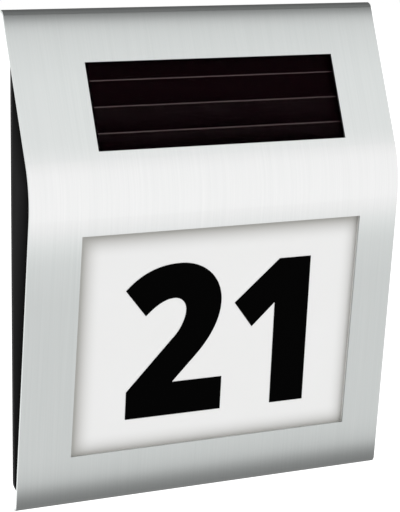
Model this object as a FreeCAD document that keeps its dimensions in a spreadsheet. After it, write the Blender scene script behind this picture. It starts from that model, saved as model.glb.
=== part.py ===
import FreeCAD, Part
import math
import os
import re
import Sketcher

# Solar house number light: a bent steel face on a black moulded housing that hangs on two wall screws.
# Millimetres. X runs to the viewer's right, Y into the wall and Z up. The origin is the middle of the
# wall side. "Depth" is the distance out from the wall (-Y) and "inset" the distance behind the outer
# face of the steel, square to it.

V = FreeCAD.Vector
doc = FreeCAD.newDocument("HouseNumberLight")

sizes = [
    # bent steel face
    ("plateWidth", 155, "across the steel face"),
    ("plateHeight", 180, "top to bottom of the steel face"),
    ("plateGauge", 0.8, "sheet thickness"),
    ("topReach", 9.844, "wall to the upper flat's outer face where the top return begins"),
    ("kneeDrop", 62.5, "top of the steel down to the line where the two outer flats would meet"),
    ("upperLean", 19.9, "degrees that the upper flat leans back"),
    ("lowerLean", 6.65, "degrees that the lower flat leans back, downwards"),
    ("kneeBend", 45, "outer radius of the knee"),
    ("topBend", 2.8, "outer radius of the top return"),
    ("bottomBend", 2.2, "outer radius of the bottom return"),
    # windows in the steel
    ("solarMargin", 25.4, "steel beside the solar window, on average of its two sides"),
    ("solarTall", 32.8, "solar window, along the flat"),
    ("solarShift", 3.4, "solar window's centre, right of the middle"),
    ("solarRise", 13.8, "knee line up to the solar window"),
    ("numberMargin", 18.75, "steel beside the number window, on average of its two sides"),
    ("numberEnd", 16.54, "number window down to the bottom return, along the flat"),
    ("numberShift", 2.2, "number window's centre, right of the middle"),
    ("numberDrop", 16.9, "knee line down to the number window"),
    # housing
    ("plateOverhang", 5, "steel beyond the black housing, each side"),
    ("topMargin", 2.6, "top of the steel down to the housing"),
    ("bottomMargin", 1.4, "bottom of the steel up to the housing"),
    ("cornerRound", 6, "corners of the housing, seen from the front"),
    ("tapeThick", 0.8, "foam tape between steel and housing"),
    ("tapeWide", 4.5, "width of each tape strip"),
    ("tapeEdge", 1, "tape in from the housing's side"),
    ("tapeEnd", 7, "tape short of the housing's top and bottom"),
    ("housingWall", 2, "moulded wall"),
    ("seatWall", 2, "wall round each recessed seat"),
    ("ledgeThick", 1.8, "floor of each seat"),
    # solar panel
    ("panelGap", 0.2, "steel to the panel's glass"),
    ("panelLap", 3.3, "panel beyond the window, each side"),
    ("panelRaise", 0.4, "panel's middle above the window's middle"),
    ("panelClear", 0.3, "panel to the seat's wall"),
    ("glassThick", 1.8, "panel glass"),
    ("cellThick", 0.2, "cell strips behind the glass"),
    ("cellCount", 4, "cell strips"),
    ("cellGap", 0.4, "scribed line between strips"),
    ("cellMargin", 0.4, "cells in from the panel's top, bottom and right edges"),
    ("busMargin", 5.8, "bare border at the panel's left end"),
    ("backingThick", 0.4, "protective back sheet"),
    ("sealantThick", 0.6, "bead under the panel's edge"),
    ("sealantWide", 3, "width of that bead"),
    ("solarLedge", 5, "ledge under the panel"),
    # number panel
    ("gasketThick", 1, "foam between the steel and the diffuser"),
    ("gasketWide", 2.6, "width of that foam"),
    ("gasketBack", 0.4, "foam behind the window's edge"),
    ("diffuserThick", 2, "opal sheet"),
    ("diffuserLap", 4, "opal sheet beyond the window, each side"),
    ("diffuserClear", 0.3, "opal sheet to the seat's wall"),
    ("lightLap", 2.2, "ledge behind the opal sheet, in from the window's edge"),
    # reflector tray
    ("trayDeep", 9.5, "tray depth behind the ledge"),
    ("trayWall", 1.5, "tray wall"),
    ("trayBossTall", 4, "tray bosses behind the ledge"),
    ("trayBossWide", 4.6, "tray boss"),
    ("trayBossOut", 6.1, "boss beyond the light opening, sideways"),
    ("trayScrewEnd", 11.45, "tray screws in from the number window's top and bottom"),
    ("earThick", 1.5, "tray ears"),
    ("earTall", 8, "tray ears"),
    ("earEnd", 2.3, "ear beyond its screw"),
    ("notchWide", 4.6, "opening for the lamp leads in the tray's top wall"),
    ("notchDeep", 3, "the same, front to back"),
    # lamp strip
    ("stripEnd", 6.55, "lamp board short of the light opening's sides"),
    ("stripWide", 7, "lamp board, front to back"),
    ("stripThick", 1.2, "lamp board"),
    ("stripInset", 0.8, "lamp board behind the ledge"),
    ("ledCount", 4, "lamps"),
    ("ledLong", 3.5, "lamp body"),
    ("ledWide", 2.8, "lamp body"),
    ("ledTall", 1.9, "lamp body"),
    # rear cover
    ("rimDepth", 6, "wall to the parting line"),
    ("backWall", 2.4, "back of the rear cover"),
    ("edgeRound", 5.5, "rounding of the rear edges"),
    ("rimWide", 3.4, "rim of the rear cover"),
    ("tongueTall", 0.9, "tongue that locates inside the housing"),
    ("tongueClear", 0.15, "tongue to the housing wall"),
    ("sealWide", 1, "seal groove"),
    ("sealDeep", 0.8, "seal groove"),
    ("sealEdge", 0.5, "groove in from the outside"),
    ("sealClear", 0.05, "seal to the groove's sides"),
    # cover screws
    ("coverScrewIn", 7.2, "screw in from the housing's side"),
    ("coverScrewUp", 7.2, "lower screws above the housing's underside"),
    ("coverScrewDown", 27.4, "upper screws below the housing's top"),
    ("bossWide", 7, "screw boss in the housing"),
    ("postWide", 8.6, "screw post in the rear cover"),
    ("coverHole", 3.2, "clearance hole"),
    ("coverBore", 6, "counterbore"),
    ("coverBoreDeep", 3, "counterbore"),
    ("coverPilotDeep", 9, "pilot hole in the housing"),
    ("coverHeadWide", 5.4, "screw head"),
    ("coverHeadTall", 1.8, "screw head"),
    ("coverShank", 2.7, "screw shank"),
    ("coverLong", 10, "screw below its head"),
    ("screwClear", 0.05, "shank to pilot wall"),
    # keyholes
    ("hangSpacing", 92, "between the wall screws"),
    ("hangDown", 23.4, "wall screws below the housing's top"),
    ("slotWide", 4.4, "keyhole slot"),
    ("entryWide", 9, "keyhole entry"),
    ("slotRise", 8, "entry up to the seat"),
    ("headRoom", 3.6, "room for the wall screw's head"),
    ("capWall", 1.2, "wall round that room"),
    # battery bay and door
    ("cellLong", 50.5, "rechargeable cell"),
    ("cellWide", 14.5, "rechargeable cell"),
    ("nubLong", 1, "positive nub"),
    ("nubWide", 5.5, "positive nub"),
    ("bayDown", 61.4, "cell below the housing's top"),
    ("bayClear", 0.5, "cell to the bay's walls"),
    ("bayWall", 1.6, "bay wall"),
    ("springRoom", 6.5, "bay beyond the cell's flat end"),
    ("contactRoom", 0.9, "bay beyond the cell's nub"),
    ("doorThick", 2, "battery door"),
    ("doorSink", 0.15, "door below the back face"),
    ("doorTab", 8, "door beyond the bay's ends"),
    ("doorLip", 3.5, "door beyond the bay's sides"),
    ("doorClear", 0.2, "door to its recess"),
    ("doorRound", 2, "door corners"),
    ("doorFrame", 1.6, "frame round and under the door's recess"),
    ("doorSealThick", 0.8, "foam under the door"),
    ("doorSealWide", 2, "foam under the door"),
    ("doorSealBack", 0.5, "foam back from the bay's edge"),
    ("doorBore", 4.6, "door counterbore"),
    ("doorBoreDeep", 1.2, "door counterbore"),
    ("doorScrewLong", 6.5, "door screw below its head"),
    ("doorBossWide", 5.6, "door screw boss"),
    ("doorPilotDeep", 5.5, "pilot hole under the door's ledge"),
    ("doorScrewOut", 4.2, "door screws beyond the bay's ends"),
    ("gripCount", 5, "grip grooves on the door"),
    ("gripPitch", 2.4, "between grip grooves"),
    ("gripWide", 1, "grip groove"),
    ("gripDeep", 0.5, "grip groove"),
    ("gripLong", 12, "grip groove"),
    # battery contacts
    ("contactGauge", 0.4, "spring brass"),
    ("contactTall", 12, "contact plates"),
    ("contactTab", 3, "solder tab"),
    ("tabReach", 2.5, "solder tab beyond the bay"),
    ("tabClear", 0.2, "tab to its slot"),
    ("dimpleWide", 3, "raised dimple of the positive contact"),
    ("springWire", 0.7, "battery spring"),
    ("springMouth", 8, "battery spring at the cell, to the wire's middle"),
    ("springFoot", 10.5, "battery spring at its plate, to the wire's middle"),
    ("springTurns", 3, "battery spring"),
    # small screws of the boards, the tray and the door
    ("smallShank", 2, "shank"),
    ("smallHole", 2.4, "clearance hole"),
    ("smallHeadWide", 4, "head"),
    ("smallHeadTall", 1.2, "head"),
    ("smallLong", 4.6, "screw below its head"),
    ("pilotRoom", 0.4, "pilot hole beyond the tip"),
    # control board
    ("boardWide", 50, "control board"),
    ("boardTall", 22, "control board"),
    ("boardThick", 1.6, "control board"),
    ("boardDown", 31.4, "control board below the housing's top"),
    ("boardStand", 3.6, "board in front of the cover's back wall"),
    ("boardScrewIn", 3.5, "board screws in from its ends"),
    ("boardBossWide", 5, "board boss"),
    ("chipIn", 14.5, "driver chip in from the board's right end"),
    ("chipDown", 6, "driver chip below the board's middle"),
    ("chipLong", 4.9, "driver chip"),
    ("chipWide", 3.9, "driver chip"),
    ("chipTall", 1.4, "driver chip"),
    ("chipPins", 4, "pins each side"),
    ("chipPitch", 1.27, "between pins"),
    ("pinWide", 0.42, "pin"),
    ("pinReach", 1, "pin beyond the chip"),
    ("pinTall", 0.6, "pin"),
    ("coilIn", 15, "inductor in from the board's left end"),
    ("coilDown", 5.5, "inductor below the board's middle"),
    ("coilWide", 7.8, "inductor"),
    ("coilTall", 5, "inductor"),
    ("coilFlange", 1.1, "inductor flanges"),
    ("coilWaist", 6.4, "inductor winding"),
    ("canRight", 1, "capacitor right of the board's middle"),
    ("canDown", 4.5, "capacitor below the board's middle"),
    ("canWide", 6.3, "capacitor"),
    ("canTall", 7, "capacitor"),
    ("canSlope", 0.6, "capacitor's top edge"),
    ("chipResistorLong", 2, "board resistor"),
    ("chipResistorWide", 1.25, "board resistor"),
    ("chipResistorTall", 0.5, "board resistor"),
    ("resistorIn", 8, "first board resistor in from the board's left end"),
    ("resistorUp", 8.5, "board resistors above the board's middle"),
    ("resistorCount", 4, "board resistors"),
    ("resistorPitch", 2.6, "between board resistors"),
    # slide switch
    ("switchRight", 11, "switch right of the middle"),
    ("switchUp", 4, "switch above the board's middle"),
    ("switchLong", 8.6, "switch body"),
    ("switchTall", 4.4, "switch body"),
    ("switchDeep", 3.4, "switch body"),
    ("switchShell", 0.3, "switch shell"),
    ("switchBase", 0.9, "switch base"),
    ("knobTravel", 2, "switch travel"),
    ("knobLong", 2, "switch knob"),
    ("knobTall", 1.8, "switch knob"),
    ("knobSink", 0.5, "knob below the back face"),
    ("carriageLong", 4.4, "switch carriage"),
    ("carriageDeep", 1, "switch carriage"),
    ("knobClear", 0.15, "knob to the switch shell"),
    ("wallClear", 0.4, "knob to the rear cover's slot"),
    ("fingerLong", 13, "finger recess"),
    ("fingerTall", 8, "finger recess"),
    ("fingerRound", 2, "finger recess corners"),
    ("fingerDeep", 1.2, "finger recess"),
    # leads
    ("wireSides", 6, "flats round a lead or the spring's wire"),
    ("leadWide", 1.2, "insulated lead"),
    ("leadGap", 2.4, "between two leads of a pair"),
    ("leadFoot", 4, "lead straight out from the board"),
    ("leadCrown", 5, "lead's highest point in front of the board"),
    ("leadSwing", 4.5, "lead's highest point beyond its foot"),
    ("leadClear", 1.8, "middle of a lead in front of the battery bay"),
    ("solarLeadIn", 7, "panel leads in from the board's left end"),
    ("solarLeadUp", 6.2, "panel leads above the board's middle"),
    ("solarLeadOut", 3.6, "panel leads straight out from the panel's back"),
    ("batteryLeadIn", 6.5, "battery leads in from the board's ends"),
    ("batteryLeadDown", 8.5, "battery leads below the board's middle"),
    ("batteryLeadRun", 5, "battery leads in from the bay's ends before they rise"),
    ("lampLeadRight", 5, "lamp leads on the board, right of the middle"),
    ("lampLeadDown", 9.2, "lamp leads below the board's middle"),
    ("lampLeadOut", 4.5, "lamp leads straight up from the lamp board"),
    ("bayLeadUp", 11.5, "leads above the cell's axis once they are past the bay"),
]

worked = [
    ("kneeRise", "plateHeight / 2 - kneeDrop", "height of the line where the two outer flats would meet"),
    ("kneeSetback", "kneeBend * tan((upperLean + lowerLean) / 2)", "that line to the knee's tangents"),
    ("topRun", "(plateHeight / 2 - topBend + topBend * sin(upperLean) - kneeRise) / cos(upperLean)",
     "knee line up to the top return"),
    ("kneeReach", "topReach + topRun * sin(upperLean)", "wall to the knee line"),
    ("bottomRun", "(kneeRise + plateHeight / 2 - bottomBend + bottomBend * sin(lowerLean)) / cos(lowerLean)",
     "knee line down to the bottom return"),
    ("skin", "plateGauge + tapeThick", "inset of the housing's front"),
    ("housingTop", "plateHeight / 2 - topMargin", "height of the housing's top"),
    ("housingBottom", "-plateHeight / 2 + bottomMargin", "height of the housing's underside"),
    ("housingTall", "housingTop - housingBottom", "housing"),
    ("housingWidth", "plateWidth - 2 * plateOverhang", "across the housing"),
    ("housingMiddle", "(housingTop + housingBottom) / 2", "height of the housing's middle"),
    ("solarWide", "plateWidth - 2 * solarMargin", "solar window"),
    ("solarMiddle", "solarRise + solarTall / 2", "knee line up to the window's middle"),
    ("panelFront", "plateGauge + panelGap", "inset of the panel's glass"),
    ("panelBack", "panelFront + glassThick + cellThick + backingThick", "inset of the panel's back"),
    ("solarFloor", "panelBack + sealantThick", "inset of the panel's seat"),
    ("panelWide", "solarWide + 2 * panelLap", "panel"),
    ("panelTall", "solarTall + 2 * panelLap", "panel"),
    ("numberWide", "plateWidth - 2 * numberMargin", "number window"),
    ("numberTall", "bottomRun - numberEnd - numberDrop", "number window, along the flat"),
    ("numberMiddle", "numberDrop + numberTall / 2", "knee line down to the window's middle"),
    ("diffuserFront", "plateGauge + gasketThick", "inset of the opal sheet"),
    ("numberFloor", "diffuserFront + diffuserThick", "inset of the opal sheet's seat"),
    ("diffuserWide", "numberWide + 2 * diffuserLap", "opal sheet"),
    ("diffuserTall", "numberTall + 2 * diffuserLap", "opal sheet"),
    ("lightWide", "numberWide - 2 * lightLap", "light opening"),
    ("lightTall", "numberTall - 2 * lightLap", "light opening"),
    ("trayMouth", "numberFloor + ledgeThick", "inset of the tray's mouth"),
    ("stripLong", "lightWide - 2 * stripEnd", "lamp board"),
    ("trayScrewSpan", "numberTall - 2 * trayScrewEnd", "between the upper and lower tray screws"),
    ("trayScrewOut", "lightWide / 2 + trayBossOut", "tray screws, each side of the window's middle"),
    ("earFront", "trayMouth + trayBossTall", "inset of the tray's ears"),
    ("earBack", "earFront + earThick", "inset of the ears' wall side"),
    ("coverScrewOut", "housingWidth / 2 - coverScrewIn", "cover screws, each side of the middle"),
    ("coverScrewHigh", "housingTop - coverScrewDown", "height of the upper cover screws"),
    ("coverScrewLow", "housingBottom + coverScrewUp", "height of the lower cover screws"),
    ("hangRise", "housingTop - hangDown", "height of the wall screws"),
    ("bayRise", "housingTop - bayDown", "height of the cell"),
    ("doorInner", "doorSink + doorThick", "depth of the door's inner face"),
    ("doorLedge", "doorInner + doorSealThick", "depth of the ledge under the door's seal"),
    ("cellDepth", "doorLedge + bayClear / 2 + cellWide / 2", "depth of the cell's axis"),
    ("bayFront", "cellDepth + cellWide / 2 + bayClear", "depth of the bay's inner front"),
    ("bayInside", "cellLong + springRoom + contactRoom", "bay"),
    ("bayTall", "cellWide + 2 * bayClear", "bay"),
    ("doorWide", "bayInside + 2 * doorTab", "battery door"),
    ("doorTall", "bayTall + 2 * doorLip", "battery door"),
    ("doorScrewSide", "bayInside / 2 + doorScrewOut", "door screws, each side of the middle"),
    ("cellFlat", "-bayInside / 2 + springRoom", "flat end of the cell"),
    ("boardRise", "housingTop - boardDown", "height of the board's middle"),
    ("boardBack", "backWall + boardStand", "depth of the board's wall side"),
    ("boardFront", "boardBack + boardThick", "depth of the board's front"),
    ("boardScrewOut", "boardWide / 2 - boardScrewIn", "board screws, each side of the middle"),
    ("switchRise", "boardRise + switchUp", "height of the switch"),
    ("switchMouth", "boardBack - switchDeep", "depth of the switch's mouth"),
    ("carriageBack", "switchMouth + switchShell + knobClear", "depth of the carriage's wall side"),
]

home = {name: "Sizes" for name, number, note in sizes}
home.update({name: "Worked" for name, formula, note in worked})


def full(formula):
    """Spell out the sheet that each named value of a formula is kept in."""
    return re.sub(r"[A-Za-z]\w*", lambda found: f"{home[found[0]]}.{found[0]}"
                  if found[0] in home else found[0], str(formula))


def makeSheet(name, rows):
    sheet = doc.addObject("Spreadsheet::Sheet", name)
    for line, (alias, content, note) in enumerate(rows, 1):
        sheet.set(f"A{line}", alias)
        sheet.set(f"B{line}", content)
        sheet.setAlias(f"B{line}", alias)
        sheet.set(f"C{line}", note)
    doc.recompute()
    return sheet


driving = makeSheet("Sizes", [(name, str(number), note) for name, number, note in sizes])
makeSheet("Worked", [(name, "=" + full(formula), note) for name, formula, note in worked])


def value(formula):
    return float(driving.evalExpression(full(formula)))


# ---- places on the bent face: a point so far along a flat from the knee line, and so far behind its face

def upperPoint(along, inset):
    return (f"-kneeReach + ({along}) * sin(upperLean) + ({inset}) * cos(upperLean)",
            f"kneeRise + ({along}) * cos(upperLean) - ({inset}) * sin(upperLean)")


def lowerPoint(along, inset):
    return (f"-kneeReach + ({along}) * sin(lowerLean) + ({inset}) * cos(lowerLean)",
            f"kneeRise - ({along}) * cos(lowerLean) + ({inset}) * sin(lowerLean)")


def upperAt(height, inset):
    return upperPoint(f"({height} - kneeRise + ({inset}) * sin(upperLean)) / cos(upperLean)", inset)


def lowerAt(height, inset):
    return lowerPoint(f"(kneeRise - ({height}) + ({inset}) * sin(lowerLean)) / cos(lowerLean)", inset)


# ---- bodies, sketches and features

def newBody(label):
    body = doc.addObject("PartDesign::Body", label)
    body.Label = label
    return body


def place(thing, x, y, z, turn):
    """Bind a placement to the sheet: a position, and an angle about X."""
    thing.Placement = FreeCAD.Placement(V(), FreeCAD.Rotation(V(1, 0, 0), 1))
    thing.setExpression("Placement.Rotation.Angle", full(turn))
    for letter, formula in zip("xyz", (x, y, z)):
        thing.setExpression(f"Placement.Base.{letter}", full(formula))


def onSolarFace(body):
    """Stand a body made square to the wall on the middle of the solar window instead."""
    y, z = upperPoint("solarMiddle", 0)
    place(body, "solarShift", y, z, "-upperLean")


def onNumberFace(body):
    y, z = lowerPoint("numberMiddle", 0)
    place(body, "numberShift", y, z, "lowerLean")


def sketchOn(body, role, x=0, y=0, z=0, lean=None):
    """A sketch on one of the body's own planes, moved along that plane's axes."""
    sketch = body.newObject("Sketcher::SketchObject", "Outline")
    plane = [face for face in body.Origin.OriginFeatures if face.Role == role][0]
    sketch.AttachmentSupport = [(plane, "")]
    sketch.MapMode = "FlatFace"
    if lean is not None:
        sketch.AttachmentOffset = FreeCAD.Placement(V(), FreeCAD.Rotation(V(1, 0, 0), 1))
        sketch.setExpression("AttachmentOffset.Rotation.Angle", full(lean))
    for letter, formula in zip("xyz", (x, y, z)):
        sketch.setExpression(f"AttachmentOffset.Base.{letter}", full(formula))
    return sketch


def frontSketch(body, depth):
    """A sketch seen from the front, at a depth out from the body's own back plane."""
    return sketchOn(body, "XZ_Plane", z=depth)


def hold(sketch, element, point, x, y):
    """Hold a point of a sketch by its two distances from the sketch's origin."""
    for kind, formula in (("DistanceX", x), ("DistanceY", y)):
        index = sketch.addConstraint(Sketcher.Constraint(kind, -1, 1, element, point, value(formula)))
        sketch.setExpression(f"Constraints[{index}]", full(formula))


def outline(sketch, corners, bends=None):
    """A closed loop through the corners. bends gives an arc's radius and turning sense, by its first corner."""
    bends = bends or {}
    points = [V(value(x), value(y), 0) for x, y in corners]
    elements = []
    for number, start in enumerate(points):
        end = points[(number + 1) % len(points)]
        if number in bends:
            radius, sense = bends[number]
            reach = value(radius)
            chord = end - start
            aside = V(-chord.y, chord.x, 0).normalize() * sense
            centre = (start + end) / 2 + aside * math.sqrt(reach ** 2 - chord.Length ** 2 / 4)
            first, last = (start, end) if sense > 0 else (end, start)
            angles = [math.atan2(point.y - centre.y, point.x - centre.x) for point in (first, last)]
            element = sketch.addGeometry(
                Part.ArcOfCircle(Part.Circle(centre, V(0, 0, 1), reach), angles[0], angles[1]), False)
            ends = (1, 2) if sense > 0 else (2, 1)
            index = sketch.addConstraint(Sketcher.Constraint("Radius", element, reach))
            sketch.setExpression(f"Constraints[{index}]", full(radius))
        else:
            element = sketch.addGeometry(Part.LineSegment(start, end), False)
            ends = (1, 2)
        elements.append((element, ends))
    for number, (element, ends) in enumerate(elements):
        before, endsBefore = elements[number - 1]
        sketch.addConstraint(Sketcher.Constraint("Coincident", before, endsBefore[1], element, ends[0]))
        hold(sketch, element, ends[0], *corners[number])
    return sketch


def rectangle(sketch, wide, tall, x=0, y=0):
    left, right = f"{x} - ({wide}) / 2", f"{x} + ({wide}) / 2"
    low, high = f"{y} - ({tall}) / 2", f"{y} + ({tall}) / 2"
    return outline(sketch, [(left, low), (right, low), (right, high), (left, high)])


def roundedRectangle(sketch, wide, tall, radius, x=0, y=0):
    left, right = f"{x} - ({wide}) / 2", f"{x} + ({wide}) / 2"
    low, high = f"{y} - ({tall}) / 2", f"{y} + ({tall}) / 2"
    bend = f"({radius})"
    corners = [(f"{left} + {bend}", low), (f"{right} - {bend}", low),
               (right, f"{low} + {bend}"), (right, f"{high} - {bend}"),
               (f"{right} - {bend}", high), (f"{left} + {bend}", high),
               (left, f"{high} - {bend}"), (left, f"{low} + {bend}")]
    return outline(sketch, corners, {number: (radius, 1) for number in (1, 3, 5, 7)})


def circles(sketch, diameter, places):
    """Equal circles at places given as (x, y)."""
    for x, y in places:
        centre = V(value(x), value(y), 0)
        element = sketch.addGeometry(Part.Circle(centre, V(0, 0, 1), value(diameter) / 2), False)
        hold(sketch, element, 3, x, y)
        index = sketch.addConstraint(Sketcher.Constraint("Radius", element, value(diameter) / 2))
        sketch.setExpression(f"Constraints[{index}]", full(f"({diameter}) / 2"))
    return sketch


def pad(body, sketch, length, both=False):
    """Thicken a sketch outwards from the wall side, or to both of its sides."""
    feature = body.newObject("PartDesign::Pad", "Pad")
    feature.Profile = sketch
    feature.setExpression("Length", full(length))
    if both:
        feature.SideType = "Symmetric"
    return feature


def pocket(body, sketch, length, both=False):
    """Cut towards the wall from the sketch, or to both sides of it, and make sure that it cuts."""
    doc.recompute()
    before = body.Shape.Volume
    feature = body.newObject("PartDesign::Pocket", "Pocket")
    feature.Profile = sketch
    feature.setExpression("Length", full(length))
    if both:
        feature.SideType = "Symmetric"
    doc.recompute()
    if not body.Shape.Volume < before:
        raise RuntimeError(f"a pocket of {body.Label} cuts nothing")
    return feature


def spin(body, corners, x, z):
    """Turn a half profile, given as (distance from the axis, depth), about an axis square to the wall."""
    sketch = sketchOn(body, "XY_Plane")
    outline(sketch, [(f"{x} + {across}", f"-({depth})") for across, depth in corners])
    sketch.setExpression("AttachmentOffset.Base.z", full(z))
    axis = sketch.addGeometry(Part.LineSegment(V(value(x), -1, 0), V(value(x), 1, 0)), True)
    hold(sketch, axis, 1, x, "-1")
    hold(sketch, axis, 2, x, "1")
    feature = body.newObject("PartDesign::Revolution", "Revolution")
    feature.Profile = sketch
    feature.ReferenceAxis = (sketch, ["Axis0"])
    feature.Angle = 360
    return feature


def roundEdges(body, radius, wanted):
    """Fillet the body's edges that a test picks."""
    doc.recompute()
    base = body.Tip
    names = [f"Edge{number}" for number, edge in enumerate(base.Shape.Edges, 1) if wanted(edge)]
    feature = body.newObject("PartDesign::Fillet", "Fillet")
    feature.Base = (base, names)
    feature.setExpression("Radius", full(radius))
    return feature


def combined(kind, name, parts):
    """Several objects as one, by Part::MultiFuse, Part::MultiCommon or Part::Compound."""
    feature = doc.addObject(kind, name)
    if kind == "Part::Compound":
        feature.Links = parts
    else:
        feature.Shapes = parts
    return feature


def cut(name, base, tool):
    feature = doc.addObject("Part::Cut", name)
    feature.Base = base
    feature.Tool = tool
    return feature


def block(label, wide, tall, back, thick, x=0, z=0, face=None):
    """A flat rectangular piece whose wall side lies at the depth back."""
    body = newBody(label)
    if face:
        face(body)
    pad(body, rectangle(frontSketch(body, back), wide, tall, x, z), thick)
    return body


def posts(label, diameter, places, back, long, face=None):
    """Equal round posts, or the drills for equal holes, from the depth back outwards."""
    body = newBody(label)
    if face:
        face(body)
    pad(body, circles(frontSketch(body, back), diameter, places), long)
    return body


def screws(label, places, seat, long, head, shank, face=None, fromFront=False):
    """Equal screws whose heads seat at a depth. They point outwards, or to the wall where set from the front."""
    headWide, headTall = head
    made = []
    for x, z in places:
        body = newBody("screw")
        if face:
            face(body)
        tip, crown = (f"{seat} - {long}", seat) if fromFront else (seat, f"{seat} - {headTall}")
        pad(body, circles(frontSketch(body, tip), shank, [(x, z)]), long)
        pad(body, circles(frontSketch(body, crown), headWide, [(x, z)]), headTall)
        made.append(body)
    keep(label, combined("Part::Compound", label, made))


def bothSides(across, height):
    return [(f"{side} * ({across})", height) for side in (-1, 1)]


pieces = {}


def keep(label, thing):
    """Name a finished piece for export."""
    thing.Label = label
    pieces[label] = thing
    return thing


coverScrewPlaces = bothSides("coverScrewOut", "coverScrewHigh") + bothSides("coverScrewOut", "coverScrewLow")
trayScrewPlaces = bothSides("trayScrewOut", "trayScrewSpan / 2") + bothSides("trayScrewOut", "-trayScrewSpan / 2")
doorScrewPlaces = bothSides("doorScrewSide", "bayRise")
boardScrewPlaces = bothSides("boardScrewOut", "boardRise")
smallHead = ("smallHeadWide", "smallHeadTall")


# ---- the steel face and its tape

def makeFacePlate():
    """One sheet bent at the knee, with a small return at the top and bottom and two square windows."""
    body = newBody("facePlate")
    topEnd = upperPoint("topRun", "topBend")[0]
    bottomEnd = lowerPoint("bottomRun", "bottomBend")[0]
    outside = [(topEnd, "plateHeight / 2"), upperPoint("topRun", 0), upperPoint("kneeSetback", 0),
               lowerPoint("kneeSetback", 0), lowerPoint("bottomRun", 0), (bottomEnd, "-plateHeight / 2")]
    inside = [(bottomEnd, "-plateHeight / 2 + plateGauge"), lowerPoint("bottomRun", "plateGauge"),
              lowerPoint("kneeSetback", "plateGauge"), upperPoint("kneeSetback", "plateGauge"),
              upperPoint("topRun", "plateGauge"), (topEnd, "plateHeight / 2 - plateGauge")]
    bends = {0: ("topBend", 1), 2: ("kneeBend", 1), 4: ("bottomBend", 1),
             6: ("bottomBend - plateGauge", -1), 8: ("kneeBend - plateGauge", -1),
             10: ("topBend - plateGauge", -1)}
    profile = outline(sketchOn(body, "YZ_Plane"), outside + inside, bends)
    pad(body, profile, "plateWidth", both=True)
    for wide, tall, shift, (y, z), lean in (
            ("solarWide", "solarTall", "solarShift", upperPoint("solarMiddle", 0), "-upperLean"),
            ("numberWide", "numberTall", "numberShift", lowerPoint("numberMiddle", 0), "lowerLean")):
        window = sketchOn(body, "XZ_Plane", shift, z, f"-({y})", lean)
        pocket(body, rectangle(window, wide, tall), "4 * plateGauge", both=True)
    keep("face_plate", body)


def makeTape():
    """Two strips of foam tape that hold the steel on the housing and follow the bend."""
    ends = [upperAt("housingTop - tapeEnd", "plateGauge"), upperPoint("kneeSetback", "plateGauge"),
            lowerPoint("kneeSetback", "plateGauge"), lowerAt("housingBottom + tapeEnd", "plateGauge"),
            lowerAt("housingBottom + tapeEnd", "skin"), lowerPoint("kneeSetback", "skin"),
            upperPoint("kneeSetback", "skin"), upperAt("housingTop - tapeEnd", "skin")]
    strips = []
    for side in (-1, 1):
        body = newBody("tapeStrip")
        middle = f"{side} * (housingWidth / 2 - tapeEdge - tapeWide / 2)"
        profile = outline(sketchOn(body, "YZ_Plane", z=middle), ends,
                          {1: ("kneeBend - plateGauge", 1), 5: ("kneeBend - skin", -1)})
        pad(body, profile, "tapeWide", both=True)
        strips.append(body)
    keep("plate_tape", combined("Part::Compound", "tape", strips))


# ---- the black housing

def bentBlock(label, inset, back, margin, wide, corner):
    """A block between a depth and the bent face, so far in from the housing's top, bottom and sides."""
    body = newBody(label)
    top, bottom = f"housingTop - ({margin})", f"housingBottom + ({margin})"
    profile = [(f"-({back})", top), upperAt(top, inset), upperPoint("kneeSetback", inset),
               lowerPoint("kneeSetback", inset), lowerAt(f"({bottom})", inset), (f"-({back})", bottom)]
    pad(body, outline(sketchOn(body, "YZ_Plane"), profile, {2: (f"kneeBend - ({inset})", 1)}), wide, both=True)
    roundEdges(body, corner, lambda edge: abs(edge.tangentAt(edge.FirstParameter).y) > 0.9999
               and abs(abs(edge.CenterOfMass.x) - value(wide) / 2) < 0.01 and len(edge.Vertexes) == 2
               and edge.Curve.TypeId == "Part::GeomLine")
    return body


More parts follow.
